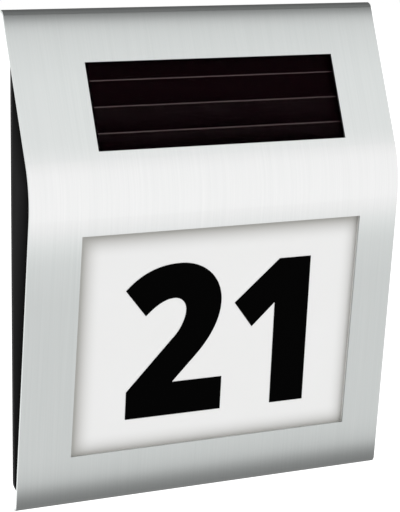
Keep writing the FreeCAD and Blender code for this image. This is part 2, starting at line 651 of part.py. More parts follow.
def makeHousing():
    """A moulded shell that follows the bend, with two recessed seats, screw bosses and tray bosses."""
    blank = bentBlock("housingBlank", "skin", "rimDepth", "0", "housingWidth", "cornerRound")
    hollow = bentBlock("housingHollow", "skin + housingWall", "rimDepth - housingWall", "housingWall",
                       "housingWidth - 2 * housingWall", "cornerRound - housingWall")

    seatFrame = "2 * panelClear + 2 * seatWall"
    solarSeat = block("solarSeat", f"panelWide + {seatFrame}", f"panelTall + {seatFrame}",
                      "-(solarFloor + ledgeThick)", "solarFloor + ledgeThick", z="panelRaise", face=onSolarFace)
    seatFrame = "2 * diffuserClear + 2 * seatWall"
    numberSeat = block("numberSeat", f"diffuserWide + {seatFrame}", f"diffuserTall + {seatFrame}",
                       "-trayMouth", "trayMouth", face=onNumberFace)
    trayBosses = posts("trayBosses", "trayBossWide", trayScrewPlaces, "-earFront", "earFront - numberFloor",
                       onNumberFace)
    bosses = posts("screwBosses", "bossWide", coverScrewPlaces, "rimDepth", "kneeReach")
    ribs = combined("Part::MultiFuse", "housingRibs", [solarSeat, numberSeat, trayBosses, bosses])
    inside = combined("Part::MultiCommon", "housingInside", [ribs, blank])
    shell = combined("Part::MultiFuse", "housingShell", [cut("housingSkin", blank, hollow), inside])

    tools = [
        block("solarPocket", "panelWide + 2 * panelClear", "panelTall + 2 * panelClear",
              "-solarFloor", "solarFloor + plateGauge", z="panelRaise", face=onSolarFace),
        block("solarOpening", "panelWide - 2 * solarLedge", "panelTall - 2 * solarLedge",
              "-(solarFloor + 2 * ledgeThick)", "3 * ledgeThick", z="panelRaise", face=onSolarFace),
        block("numberPocket", "diffuserWide + 2 * diffuserClear", "diffuserTall + 2 * diffuserClear",
              "-numberFloor", "numberFloor + plateGauge", face=onNumberFace),
        block("numberOpening", "lightWide", "lightTall",
              "-(numberFloor + 2 * ledgeThick)", "3 * ledgeThick", face=onNumberFace),
        posts("coverPilots", "coverShank + 2 * screwClear", coverScrewPlaces, "0",
              "rimDepth + coverPilotDeep"),
        posts("trayPilots", "smallShank + 2 * screwClear", trayScrewPlaces, "-earBack",
              "smallLong + pilotRoom", onNumberFace),
    ]
    keep("housing", cut("housing", shell, combined("Part::MultiFuse", "housingTools", tools)))


# ---- the solar panel

def makeSolarPanel():
    keep("solar_glass", block("glass", "panelWide", "panelTall", "-(panelFront + glassThick)",
                              "glassThick", z="panelRaise", face=onSolarFace))
    count = int(value("cellCount"))
    stripTall = f"(panelTall - 2 * cellMargin - (cellCount - 1) * cellGap) / {count}"
    strips = []
    for number in range(count):
        middle = f"panelRaise + ({number} - (cellCount - 1) / 2) * ({stripTall} + cellGap)"
        strips.append(block("cellStrip", "panelWide - busMargin - cellMargin", stripTall,
                            "-(panelBack - backingThick)", "cellThick", "(busMargin - cellMargin) / 2",
                            middle, onSolarFace))
    keep("solar_cells", combined("Part::Compound", "cells", strips))
    keep("solar_backing", block("backing", "panelWide", "panelTall", "-panelBack", "backingThick",
                                z="panelRaise", face=onSolarFace))
    bead = newBody("bead")
    onSolarFace(bead)
    ring = rectangle(frontSketch(bead, "-solarFloor"), "panelWide", "panelTall", y="panelRaise")
    pad(bead, rectangle(ring, "panelWide - 2 * sealantWide", "panelTall - 2 * sealantWide", y="panelRaise"),
        "sealantThick")
    keep("solar_bond", bead)


# ---- the number panel with its light

def makeNumberPanel():
    keep("diffuser", block("opalSheet", "diffuserWide", "diffuserTall", "-numberFloor", "diffuserThick",
                           face=onNumberFace))
    gasket = newBody("gasket")
    onNumberFace(gasket)
    inner = "2 * gasketBack"
    outer = "2 * gasketBack + 2 * gasketWide"
    ring = rectangle(frontSketch(gasket, "-diffuserFront"), f"numberWide + {outer}", f"numberTall + {outer}")
    pad(gasket, rectangle(ring, f"numberWide + {inner}", f"numberTall + {inner}"), "gasketThick")
    keep("diffuser_seal", gasket)


def makeReflectorTray():
    """A white tray behind the number panel, with four screw ears and an opening for the lamp leads."""
    body = newBody("tray")
    onNumberFace(body)
    pad(body, rectangle(frontSketch(body, "-(trayMouth + trayDeep)"), "lightWide + 2 * trayWall",
                        "lightTall + 2 * trayWall"), "trayDeep")
    for level in (1, -1):
        pad(body, rectangle(frontSketch(body, "-earBack"), "2 * (trayScrewOut + earEnd)", "earTall",
                            y=f"{level} * trayScrewSpan / 2"), "earThick")
    pocket(body, rectangle(frontSketch(body, "-trayMouth"), "lightWide", "lightTall"), "trayDeep - trayWall")
    pocket(body, circles(frontSketch(body, "-earFront"), "smallHole", trayScrewPlaces), "2 * earThick")
    middle = "trayMouth + stripInset + stripWide / 2"
    pocket(body, rectangle(frontSketch(body, f"-({middle} - notchDeep / 2)"), "notchWide", "2 * trayWall",
                           y="lightTall / 2 + trayWall"), "notchDeep")
    keep("reflector_tray", body)
    screws("tray_screws", trayScrewPlaces, "-earBack", "smallLong", smallHead, "smallShank", onNumberFace)


def makeLampStrip():
    """A lamp board under the tray's top wall, with its lamps facing down."""
    keep("led_board", block("lampBoard", "stripLong", "stripThick", "-(trayMouth + stripInset + stripWide)",
                            "stripWide", z="lightTall / 2 - stripThick / 2", face=onNumberFace))
    count = int(value("ledCount"))
    lamps = []
    for number in range(count):
        x = f"({number} - (ledCount - 1) / 2) * stripLong / {count}"
        lamps.append(block("lamp", "ledLong", "ledTall", "-(trayMouth + stripInset + (stripWide + ledWide) / 2)",
                           "ledWide", x, "lightTall / 2 - stripThick - ledTall / 2", onNumberFace))
    keep("leds", combined("Part::Compound", "lamps", lamps))


# ---- the rear cover

def keyhole(label, side, back, long, entry, slot):
    """A post in a keyhole's shape: a round entry with a slot above it that ends where the wall screw sits."""
    body = newBody(label)
    x = f"{side} * hangSpacing / 2"
    pad(body, circles(frontSketch(body, back), entry, [(x, "hangRise - slotRise")]), long)
    pad(body, rectangle(frontSketch(body, back), slot, "slotRise", x, "hangRise - slotRise / 2"), long)
    pad(body, circles(frontSketch(body, back), slot, [(x, "hangRise")]), long)
    return body


def roundedBlock(label, wide, tall, corner, back, thick, x, z):
    body = newBody(label)
    pad(body, roundedRectangle(frontSketch(body, back), wide, tall, corner, x, z), thick)
    return body


def makeRearCover():
    """A shallow tray with rounded back edges, a battery bay, keyholes, a switch recess, posts and bosses."""
    tray = roundedBlock("coverTray", "housingWidth", "housingTall", "cornerRound", "0", "rimDepth",
                        "0", "housingMiddle")
    roundEdges(tray, "edgeRound", lambda edge: abs(edge.CenterOfMass.y) < 0.001)
    inside = "2 * (housingWall + tongueClear)"
    pad(tray, roundedRectangle(frontSketch(tray, "rimDepth"), f"housingWidth - {inside}",
                               f"housingTall - {inside}", "cornerRound - housingWall - tongueClear",
                               y="housingMiddle"), "tongueTall")
    pocket(tray, roundedRectangle(frontSketch(tray, "rimDepth + tongueTall"), "housingWidth - 2 * rimWide",
                                  "housingTall - 2 * rimWide", "cornerRound - rimWide", y="housingMiddle"),
           "rimDepth + tongueTall - backWall")
    pocket(tray, sealRing(frontSketch(tray, "rimDepth"), "0"), "sealDeep")

    capWide = "entryWide + 2 * capWall"
    standing = [
        roundedBlock("doorFrame", "doorWide + 2 * doorClear + 2 * doorFrame",
                     "doorTall + 2 * doorClear + 2 * doorFrame", "doorRound + doorFrame", "backWall / 2",
                     "doorLedge + doorFrame - backWall / 2", "0", "bayRise"),
        block("bay", "bayInside + 2 * bayWall", "bayTall + 2 * bayWall", "backWall / 2",
              "bayFront + bayWall - backWall / 2", z="bayRise"),
        posts("doorBosses", "doorBossWide", doorScrewPlaces, "backWall / 2",
              "doorLedge + doorPilotDeep + doorFrame - backWall / 2"),
        posts("coverPosts", "postWide", coverScrewPlaces, "backWall / 2", "rimDepth - backWall / 2"),
        posts("boardBosses", "boardBossWide", boardScrewPlaces, "backWall / 2", "boardBack - backWall / 2"),
    ] + [keyhole("hangCap", side, "backWall / 2", "backWall / 2 + headRoom + capWall", capWide, capWide)
         for side in (-1, 1)]

    slotOut = "(bayInside - contactGauge - tabClear) / 2"
    tools = [
        roundedBlock("doorRecess", "doorWide + 2 * doorClear", "doorTall + 2 * doorClear",
                     "doorRound + doorClear", "-doorLedge", "2 * doorLedge", "0", "bayRise"),
        block("bayRoom", "bayInside", "bayTall", "0", "bayFront", z="bayRise"),
        posts("doorPilots", "smallShank + 2 * screwClear", doorScrewPlaces, "0", "doorLedge + doorPilotDeep"),
        posts("coverHoles", "coverHole", coverScrewPlaces, "-rimDepth", "3 * rimDepth"),
        posts("coverBores", "coverBore", coverScrewPlaces, "-coverBoreDeep", "2 * coverBoreDeep"),
        posts("boardPilots", "smallShank + 2 * screwClear", boardScrewPlaces,
              "boardFront - smallLong - pilotRoom", "boardStand"),
        roundedBlock("fingerRecess", "fingerLong", "fingerTall", "fingerRound", "-fingerDeep",
                     "2 * fingerDeep", "switchRight", "switchRise"),
        block("knobSlot", "knobLong + knobTravel + 2 * wallClear", "knobTall + 2 * wallClear", "-backWall",
              "3 * backWall", "switchRight", "switchRise"),
    ]
    for side in (-1, 1):
        tools += [
            keyhole("hangRoom", side, "backWall", "headRoom", "entryWide", "entryWide"),
            keyhole("hangSlot", side, "-backWall", "2 * backWall + headRoom", "entryWide", "slotWide"),
            block("tabSlot", "contactGauge + tabClear", "contactTab + 2 * tabClear", "bayFront",
                  "2 * bayWall", f"{side} * {slotOut}", "bayRise"),
        ]
    whole = combined("Part::MultiFuse", "coverWhole", [tray] + standing)
    keep("rear_cover", cut("rearCover", whole, combined("Part::MultiFuse", "coverTools", tools)))


def sealRing(sketch, shrink):
    """The groove's ring between housing and rear cover, narrower by shrink on each side."""
    for edge, corner in ((f"sealEdge + {shrink}", "cornerRound - sealEdge"),
                         (f"sealEdge + sealWide - {shrink}", "cornerRound - sealEdge - sealWide")):
        roundedRectangle(sketch, f"housingWidth - 2 * ({edge})", f"housingTall - 2 * ({edge})", corner,
                         y="housingMiddle")
    return sketch


def makeCoverFixings():
    seal = newBody("coverSeal")
    pad(seal, sealRing(frontSketch(seal, "rimDepth - sealDeep"), "sealClear"), "sealDeep")
    keep("cover_seal", seal)
    screws("cover_screws", coverScrewPlaces, "coverBoreDeep", "coverLong",
           ("coverHeadWide", "coverHeadTall"), "coverShank")


# ---- the battery door

def makeDoor():
    """The door lies just below the back face, on a foam ring, with a screw in each end and grip grooves."""
    body = newBody("door")
    pad(body, roundedRectangle(frontSketch(body, "doorSink"), "doorWide", "doorTall", "doorRound",
                               y="bayRise"), "doorThick")
    pocket(body, circles(frontSketch(body, "doorInner"), "smallHole", doorScrewPlaces), "2 * doorThick")
    pocket(body, circles(frontSketch(body, "doorSink + doorBoreDeep"), "doorBore", doorScrewPlaces),
           "2 * doorBoreDeep")
    for number in range(int(value("gripCount"))):
        pocket(body, rectangle(frontSketch(body, "doorSink + gripDeep"), "gripLong", "gripWide", 0,
                               f"bayRise + ({number} - (gripCount - 1) / 2) * gripPitch"), "2 * gripDeep")
    keep("battery_door", body)
    seal = newBody("doorSeal")
    inner = "2 * doorSealBack"
    outer = "2 * doorSealBack + 2 * doorSealWide"
    ring = rectangle(frontSketch(seal, "doorInner"), f"bayInside + {outer}", f"bayTall + {outer}", y="bayRise")
    pad(seal, rectangle(ring, f"bayInside + {inner}", f"bayTall + {inner}", y="bayRise"), "doorSealThick")
    keep("door_seal", seal)
    screws("door_screws", doorScrewPlaces, "doorSink + doorBoreDeep", "doorScrewLong", smallHead, "smallShank")


# ---- the battery and its contacts

def makeCell():
    """One rechargeable cell lying across the light, its nub to the right."""
    body = newBody("cell")
    bottom = sketchOn(body, "YZ_Plane", z="cellFlat")
    pad(body, circles(bottom, "cellWide", [("-cellDepth", "bayRise")]), "cellLong - nubLong")
    nub = sketchOn(body, "YZ_Plane", z="cellFlat + cellLong - nubLong")
    pad(body, circles(nub, "nubWide", [("-cellDepth", "bayRise")]), "nubLong")
    keep("battery_cell", body)


def contactPlate(label, side):
    """A square plate against one end of the bay, with a solder tab out through the bay's front."""
    body = newBody(label)
    low, high = "bayRise - contactTall / 2", "bayRise + contactTall / 2"
    tabLow, tabHigh = "bayRise - contactTab / 2", "bayRise + contactTab / 2"
    back, front = "-(cellDepth - contactTall / 2)", "-(cellDepth + contactTall / 2)"
    tip = "-(bayFront + bayWall + tabReach)"
    start = "-bayInside / 2" if side < 0 else "bayInside / 2 - contactGauge"
    sketch = outline(sketchOn(body, "YZ_Plane", z=start),
                     [(back, low), (back, high), (front, high), (front, tabHigh),
                      (tip, tabHigh), (tip, tabLow), (front, tabLow), (front, low)])
    pad(body, sketch, "contactGauge")
    return body


def bendEdge(begin, corner, finish):
    """The arc that touches begin-corner and corner-finish at its two ends, with both legs equally long."""
    weight = (finish - begin).Length / (2 * (corner - begin).Length)
    crown = (begin + corner * (2 * weight) + finish) / (2 + 2 * weight)
    return Part.Arc(begin, crown, finish).toShape()


def tube(edges, wide):
    """A wire of wireSides sides along lines and tangent arcs: each run is drawn out, each bend is turned."""
    start, heading = edges[0].valueAt(edges[0].FirstParameter), edges[0].tangentAt(edges[0].FirstParameter)
    aside = heading.cross(V(1, 0, 0) if abs(heading.x) < 0.9 else V(0, 0, 1)).normalize() * (wide / 2)
    sides = int(value("wireSides"))
    corners = [start + FreeCAD.Rotation(heading, 360 * number / sides).multVec(aside) for number in range(sides)]
    section = Part.Face(Part.makePolygon(corners + corners[:1]))
    wanted = section.Area * sum(edge.Length for edge in edges)
    runs = []
    for edge in edges:
        if edge.Curve.TypeId == "Part::GeomLine":
            shift = edge.valueAt(edge.LastParameter) - edge.valueAt(edge.FirstParameter)
            runs.append(section.extrude(shift))
            section = section.translated(shift)
        else:
            turn = math.degrees(edge.LastParameter - edge.FirstParameter)
            runs.append(section.revolve(edge.Curve.Center, edge.Curve.Axis, turn))
            section = section.rotated(edge.Curve.Center, edge.Curve.Axis, turn)
    solid = runs[0].fuse(runs[1:])
    if len(solid.Solids) != 1 or abs(solid.Volume - wanted) > 0.02 * wanted:
        raise RuntimeError("a wire's volume differs from its section times its length")
    return solid.Solids[0]


def biarc(start, heading, end, arrival):
    """Two tangent arcs between two points with given directions."""
    chord, both = end - start, heading + arrival
    spare = 2 * (1 - heading.dot(arrival))
    reach = (-chord.dot(both) + math.sqrt(chord.dot(both) ** 2 + spare * chord.dot(chord))) / spare
    first, second = start + heading * reach, end - arrival * reach
    middle = (first + second) / 2
    return [bendEdge(start, first, middle), bendEdge(middle, second, end)]


def makeSpring():
    """A conical spring of springTurns turns, wound between its plate and the flat end of the cell."""
    wire, turns = value("springWire"), value("springTurns")
    foot, mouth = value("springFoot") / 2, value("springMouth") / 2
    start = value("-bayInside / 2 + contactGauge") + wire / 2
    rise = value("cellFlat") - wire / 2 - start
    axis = V(0, -value("cellDepth"), value("bayRise"))

    def at(turn):
        radius = foot + (mouth - foot) * turn / turns
        angle = 2 * math.pi * turn
        return axis + V(start + rise * turn / turns, radius * math.cos(angle), radius * math.sin(angle))

    def heading(turn):
        radius = foot + (mouth - foot) * turn / turns
        angle = 2 * math.pi * turn
        grow = (mouth - foot) / turns / (2 * math.pi)
        return V(rise / turns / (2 * math.pi), grow * math.cos(angle) - radius * math.sin(angle),
                 grow * math.sin(angle) + radius * math.cos(angle)).normalize()

    quarters = int(round(4 * turns))
    edges = []
    for quarter in range(quarters):
        begin, finish = quarter / 4, (quarter + 1) / 4
        edges += biarc(at(begin), heading(begin), at(finish), heading(finish))
    feature = doc.addObject("Part::Feature", "spring")
    feature.Shape = tube(edges, wire)
    samples = [at(step / 24) for step in range(int(24 * turns) + 1)]
    gap = min((one - other).Length for number, one in enumerate(samples)
              for other in samples[number + 12:]) - wire
    print(f"battery_spring: least gap to itself {gap:.2f} mm")
    keep("battery_spring", feature)


def makeContacts():
    keep("negative_contact", contactPlate("negativeContact", -1))
    positive = contactPlate("positiveContact", 1)
    dimple = sketchOn(positive, "YZ_Plane", z="bayInside / 2 - contactRoom")
    pad(positive, circles(dimple, "dimpleWide", [("-cellDepth", "bayRise")]), "contactRoom - contactGauge")
    keep("positive_contact", positive)
    makeSpring()


# ---- the control board and what is on it

def makeBoard():
    body = newBody("board")
    pad(body, rectangle(frontSketch(body, "boardBack"), "boardWide", "boardTall", y="boardRise"), "boardThick")
    pocket(body, circles(frontSketch(body, "boardFront"), "smallHole", boardScrewPlaces), "2 * boardThick")
    keep("control_board", body)
    screws("board_screws", boardScrewPlaces, "boardFront", "smallLong", smallHead, "smallShank",
           fromFront=True)


def makeBoardParts():
    """A driver chip with its pins, a drum inductor, a capacitor and a row of small resistors."""
    chipRight, chipRise = "boardWide / 2 - chipIn", "boardRise - chipDown"
    chip = newBody("chip")
    pad(chip, rectangle(frontSketch(chip, "boardFront"), "chipLong", "chipWide", chipRight, chipRise),
        "chipTall")
    for number in range(int(value("chipPins"))):
        x = f"{chipRight} + ({number} - (chipPins - 1) / 2) * chipPitch"
        pad(chip, rectangle(frontSketch(chip, "boardFront"), "pinWide", "chipWide + 2 * pinReach",
                            x, chipRise), "pinTall")
    keep("driver_chip", chip)

    drum = newBody("drum")
    crown = "boardFront + coilTall"
    spin(drum, [("0", "boardFront"), ("coilWide / 2", "boardFront"),
                ("coilWide / 2", "boardFront + coilFlange"), ("coilWaist / 2", "boardFront + coilFlange"),
                ("coilWaist / 2", f"{crown} - coilFlange"), ("coilWide / 2", f"{crown} - coilFlange"),
                ("coilWide / 2", crown), ("0", crown)], "-boardWide / 2 + coilIn", "boardRise - coilDown")
    keep("inductor", drum)

    can = newBody("can")
    crown = "boardFront + canTall"
    spin(can, [("0", "boardFront"), ("canWide / 2", "boardFront"), ("canWide / 2", f"{crown} - canSlope"),
               ("canWide / 2 - canSlope", crown), ("0", crown)], "canRight", "boardRise - canDown")
    keep("capacitor", can)

    row = []
    for number in range(int(value("resistorCount"))):
        x = f"-boardWide / 2 + resistorIn + {number} * resistorPitch"
        row.append(block("resistor", "chipResistorWide", "chipResistorLong", "boardFront", "chipResistorTall",
                         x, "boardRise + resistorUp"))
    keep("board_resistors", combined("Part::Compound", "resistors", row))


def makeSwitch():
    """A slide switch on the board's wall side. Its knob reaches through the cover and shows at the left end."""
    shell = newBody("switchShell")
    here = ("switchRight", "switchRise")
    pad(shell, rectangle(frontSketch(shell, "switchMouth"), "switchLong", "switchTall", *here), "switchDeep")
    pocket(shell, rectangle(frontSketch(shell, "boardBack"), "switchLong - 2 * switchShell",
                            "switchTall - 2 * switchShell", *here), "switchDeep - switchShell")
    pocket(shell, rectangle(frontSketch(shell, "switchMouth + switchShell"),
                            "knobLong + knobTravel + 2 * knobClear", "knobTall + 2 * knobClear", *here),
           "2 * switchShell")
    keep("switch_frame", shell)
    keep("switch_base", block("base", "switchLong - 2 * switchShell", "switchTall - 2 * switchShell",
                              "boardBack - switchBase", "switchBase", *here))
    knob = newBody("knob")
    left = "switchRight - knobTravel / 2"
    pad(knob, rectangle(frontSketch(knob, "carriageBack"), "carriageLong",
                        "switchTall - 2 * switchShell - 2 * knobClear", left, "switchRise"), "carriageDeep")
    pad(knob, rectangle(frontSketch(knob, "knobSink"), "knobLong", "knobTall", left, "switchRise"),
        "carriageBack - knobSink")
    keep("switch_knob", knob)


# ---- the leads

def leadRoute(points):
    """Straight runs joined by tangent arcs, each as large as the shorter run beside it allows."""
    edges, last, radii = [], points[0], []
    for before, corner, after in zip(points, points[1:], points[2:]):
        into, away = corner - before, after - corner
        leg = 0.45 * min(into.Length, away.Length)
        radii.append(leg / math.tan(into.getAngle(away) / 2))
        begin = corner - into.normalize() * leg
        finish = corner + away.normalize() * leg
        edges += [Part.LineSegment(last, begin).toShape(), bendEdge(begin, corner, finish)]
        last = finish
    edges.append(Part.LineSegment(last, points[-1]).toShape())
    return edges, min(radii)


def makeLead(label, corners):
    points = [V(value(x), value(y), value(z)) for x, y, z in corners]
    feature = doc.addObject("Part::Feature", label)
    edges, tightest = leadRoute(points)
    feature.Shape = tube(edges, value("leadWide"))
    print(f"{label}: {sum(edge.Length for edge in edges):.1f} mm long, tightest bend {tightest:.1f} mm")
    keep(label, feature)


def makeLeads():
    """The panel's, the battery's and the lamps' leads, all to the front of the control board."""
    crown, foot, board = "-boardFront - leadCrown", "-boardFront - leadFoot", "-boardFront"
    bay = "-bayFront - bayWall"
    for side, colour in ((-1, "red"), (1, "black")):
        x = f"-boardWide / 2 + solarLeadIn + {side} * leadGap / 2"
        backY, backZ = upperPoint("solarMiddle", "panelBack")
        nearY, nearZ = upperPoint("solarMiddle", "panelBack + solarLeadOut")
        end = "boardRise + solarLeadUp"
        makeLead(f"solar_lead_{colour}", [(x, backY, backZ), (x, nearY, nearZ),
                                          (f"{x} + leadWide / 3", crown, f"{end} - leadFoot"),
                                          (f"{x} + leadWide / 2", foot, end), (f"{x} + leadWide / 2", board, end)])
    for side, colour in ((-1, "black"), (1, "red")):
        tab, end = f"{bay} - tabReach / 2", "boardRise - batteryLeadDown"
        foothold = f"{side} * (boardWide / 2 - batteryLeadIn)"
        makeLead(f"battery_lead_{colour}", [
            (f"{side} * (bayInside / 2 - contactGauge)", tab, "bayRise"),
            (f"{side} * (bayInside / 2 - batteryLeadRun)", tab, "bayRise"),
            (f"{side} * (bayInside / 2 - batteryLeadRun - 2 * contactGauge)", f"{bay} - leadClear",
             "bayRise + bayLeadUp"),
            (f"{foothold} + {side} * leadWide", crown, f"{end} - leadSwing"),
            (foothold, foot, end), (foothold, board, end)])
    inset = "trayMouth + stripInset + stripWide / 2"
    for side, colour in ((-1, "red"), (1, "black")):
        shift, end = f"{side} * leadGap / 2", "boardRise - lampLeadDown"
        endY, endZ = lowerPoint("numberMiddle - lightTall / 2", inset)
        nearY, nearZ = lowerPoint("numberMiddle - lightTall / 2 - lampLeadOut", inset)
        makeLead(f"lamp_lead_{colour}", [
            (f"numberShift + {shift}", endY, endZ), (f"numberShift + {shift}", nearY, nearZ),
            (f"numberShift + leadWide / 3 + {shift}", f"{bay} - leadClear", "bayRise - leadGap"),
            (f"numberShift + leadWide + {shift}", f"{bay} - leadClear", "bayRise + bayLeadUp"),
            (f"lampLeadRight + {shift}", crown, f"{end} - leadSwing"),
            (f"lampLeadRight + {shift}", foot, end), (f"lampLeadRight + {shift}", board, end)])


makeFacePlate()
makeTape()
makeHousing()
makeSolarPanel()
makeNumberPanel()
makeReflectorTray()
makeLampStrip()
makeRearCover()
makeCoverFixings()
makeDoor()
makeCell()
makeContacts()
makeBoard()
makeBoardParts()
makeSwitch()
makeLeads()

doc.recompute()
os.makedirs("parts", exist_ok=True)
faults = [thing.Name for thing in doc.Objects if "Invalid" in thing.State or "Error" in thing.State]
if faults:
    raise RuntimeError(f"failed: {faults}")
for label, thing in pieces.items():
    shape = thing.Shape
    if shape.isNull() or not shape.isValid() or not shape.Solids:
        raise RuntimeError(f"{label} is not a sound solid")
for label, thing in pieces.items():
    shape = thing.Shape
    box = shape.BoundBox
    print(f"{label}: {len(shape.Solids)} solid(s), {shape.Volume:.1f} mm3,"
          f" {box.XMin:.1f}..{box.XMax:.1f} {box.YMin:.1f}..{box.YMax:.1f} {box.ZMin:.1f}..{box.ZMax:.1f}")
    shape.exportStep(f"parts/{label}.step")
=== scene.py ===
import math
import bmesh
import bpy
from mathutils import Matrix, Vector


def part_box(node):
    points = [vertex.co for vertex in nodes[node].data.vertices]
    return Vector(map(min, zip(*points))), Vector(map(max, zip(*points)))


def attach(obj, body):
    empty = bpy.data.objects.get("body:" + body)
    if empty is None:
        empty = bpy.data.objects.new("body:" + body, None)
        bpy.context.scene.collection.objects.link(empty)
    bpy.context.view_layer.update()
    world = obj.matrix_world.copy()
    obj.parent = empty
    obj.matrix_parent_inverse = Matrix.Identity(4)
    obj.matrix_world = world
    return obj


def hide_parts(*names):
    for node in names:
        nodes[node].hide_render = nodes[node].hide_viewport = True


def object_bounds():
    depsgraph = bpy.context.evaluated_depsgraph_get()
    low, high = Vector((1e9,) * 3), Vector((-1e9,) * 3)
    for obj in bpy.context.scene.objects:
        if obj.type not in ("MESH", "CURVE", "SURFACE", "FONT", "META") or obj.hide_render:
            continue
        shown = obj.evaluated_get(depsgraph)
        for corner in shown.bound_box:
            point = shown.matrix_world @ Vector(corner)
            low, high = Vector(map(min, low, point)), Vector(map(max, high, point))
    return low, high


# Solar house number light: a brushed steel face on a slim black housing. Metres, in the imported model's frame.

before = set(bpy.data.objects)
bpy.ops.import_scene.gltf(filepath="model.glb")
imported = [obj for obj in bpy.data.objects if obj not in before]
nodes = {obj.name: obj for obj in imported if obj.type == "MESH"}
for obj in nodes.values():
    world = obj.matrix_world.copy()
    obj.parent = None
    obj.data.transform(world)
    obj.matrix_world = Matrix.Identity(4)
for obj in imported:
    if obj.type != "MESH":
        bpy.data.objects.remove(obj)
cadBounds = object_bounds()
mm = 0.001
toWall = Vector((0, 1, 0))
print("frame loaded:", len(nodes), "nodes")


def fromHex(code):  # an sRGB hex colour as linear RGBA
    channels = [int(code[place:place + 2], 16) / 255 for place in (1, 3, 5)]
    return [part / 12.92 if part <= 0.04045 else ((part + 0.055) / 1.055) ** 2.4 for part in channels] + [1]


def connect(tree, node, links):  # a source is a socket, or a node whose first output is meant
    for key, source in links.items():
        tree.links.new(getattr(source, "outputs", [source])[0], node.inputs[key])


def addNode(tree, kind, settings={}, links={}):  # a key names a socket, or else a property of the node
    node = tree.nodes.new(kind)
    for key, setting in settings.items():
        if isinstance(key, int) or key in node.inputs:
            node.inputs[key].default_value = setting
        else:
            setattr(node, key, setting)
    connect(tree, node, links)
    return node


def scaled(tree, across, along=None):
    # object coordinates over a size in millimetres, with a size of their own along Y and Z where one is given
    place = addNode(tree, "ShaderNodeTexCoord").outputs["Object"]
    along = along or across
    sizes = [1 / (size * mm) for size in (across, along, along)]
    return addNode(tree, "ShaderNodeMapping", {"Scale": sizes}, {"Vector": place})


def seenDirectly(tree):  # 1 for camera, mirror and glass rays, 0 for the rays that light things
    rays = addNode(tree, "ShaderNodeLightPath").outputs
    seen = addNode(tree, "ShaderNodeMath", {"operation": "MAXIMUM"},
                   {0: rays["Is Camera Ray"], 1: rays["Is Glossy Ray"]})
    return addNode(tree, "ShaderNodeMath", {"operation": "MAXIMUM"},
                   {0: seen, 1: rays["Is Transmission Ray"]})


def newMaterial(name, sockets):
    material = bpy.data.materials.new(name)
    material.use_nodes = True
    tree = material.node_tree
    shader = tree.nodes["Principled BSDF"]
    for socket, setting in sockets.items():
        shader.inputs[socket].default_value = setting
    return material, tree, shader


def cover(material, names):  # gives CAD nodes a material
    for name in names:
        slots = nodes[name].data.materials
        slots.clear()
        slots.append(material)


# places read from the frame

def frontOf(name):  # the flat front of a CAD node: its middle, with X across, Y up along it and Z outwards
    largest = sorted(nodes[name].data.polygons, key=lambda face: face.area)[-4:]  # two triangles a side
    front = [face for face in largest if face.normal.y < 0]
    corners = [nodes[name].data.vertices[index].co for face in front for index in face.vertices]
    middle = (Vector(map(min, zip(*corners))) + Vector(map(max, zip(*corners)))) / 2
    across, outward = Vector((1, 0, 0)), front[0].normal.normalized()
    return Matrix.Translation(middle) @ Matrix((across, outward.cross(across), outward)).transposed().to_4x4()


def solidsOf(name):  # the corner points of each separate solid of a CAD node
    mesh = bmesh.new()
    mesh.from_mesh(nodes[name].data)
    bmesh.ops.remove_doubles(mesh, verts=mesh.verts, dist=1e-6)
    mesh.verts.index_update()
    left, solids = set(mesh.verts), []
    while left:
        reached, edge = set(), [left.pop()]
        while edge:
            point = edge.pop()
            reached.add(point)
            found = {line.other_vert(point) for line in point.link_edges} & left
            left -= found
            edge += found
        solids.append(sorted(reached, key=lambda point: point.index))
    solids.sort(key=lambda solid: solid[0].index)
    corners = [[point.co.copy() for point in solid] for solid in solids]
    mesh.free()
    return corners


def finished(thing, name, body):  # the evaluated mesh as a plain piece at the origin, riding a body
    mesh = bpy.data.meshes.new_from_object(thing.evaluated_get(bpy.context.evaluated_depsgraph_get()))
    mesh.transform(thing.matrix_world)
    bpy.data.objects.remove(thing)
    piece = bpy.data.objects.new(name, mesh)
    bpy.context.scene.collection.objects.link(piece)
    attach(piece, body)
    return piece


# finishes: sizes are in millimetres

steelFinish = {"pale": "#D2D5D4", "dark": "#C7CBCA", "grooveWide": 0.5, "grooveLong": 45, "smooth": 0.27,
               "rough": 0.33, "anisotropy": 0.7, "bump": 0.4, "relief": 0.002}


def makeBrushedSteel(finish):
    # stainless sheet brushed top to bottom: pale, even along each row, with soft streaks and a wide highlight
    material, tree, shader = newMaterial("brushedStainlessSteel", {
        "Metallic": 1, "Anisotropic": finish["anisotropy"], "Anisotropic Rotation": 0.25})
    # real grooves are under 0.1 mm apart: drawn wider here so that they show
    grooves = addNode(tree, "ShaderNodeTexNoise", {"Scale": 1, "Detail": 3, "Roughness": 0.6},
                      {"Vector": scaled(tree, finish["grooveWide"], finish["grooveLong"])})
    colours = {"Color1": fromHex(finish["pale"]), "Color2": fromHex(finish["dark"])}
    tint = addNode(tree, "ShaderNodeMixRGB", colours, {"Fac": grooves})
    polish = addNode(tree, "ShaderNodeMapRange", {"To Min": finish["smooth"], "To Max": finish["rough"]},
                     {"Value": grooves})
    relief = addNode(tree, "ShaderNodeBump", {"Strength": finish["bump"], "Distance": finish["relief"] * mm},
                     {"Height": grooves})
    along = addNode(tree, "ShaderNodeTangent", {"direction_type": "RADIAL", "axis": "X"})
    connect(tree, shader, {"Base Color": tint, "Roughness": polish, "Normal": relief, "Tangent": along})
    return material


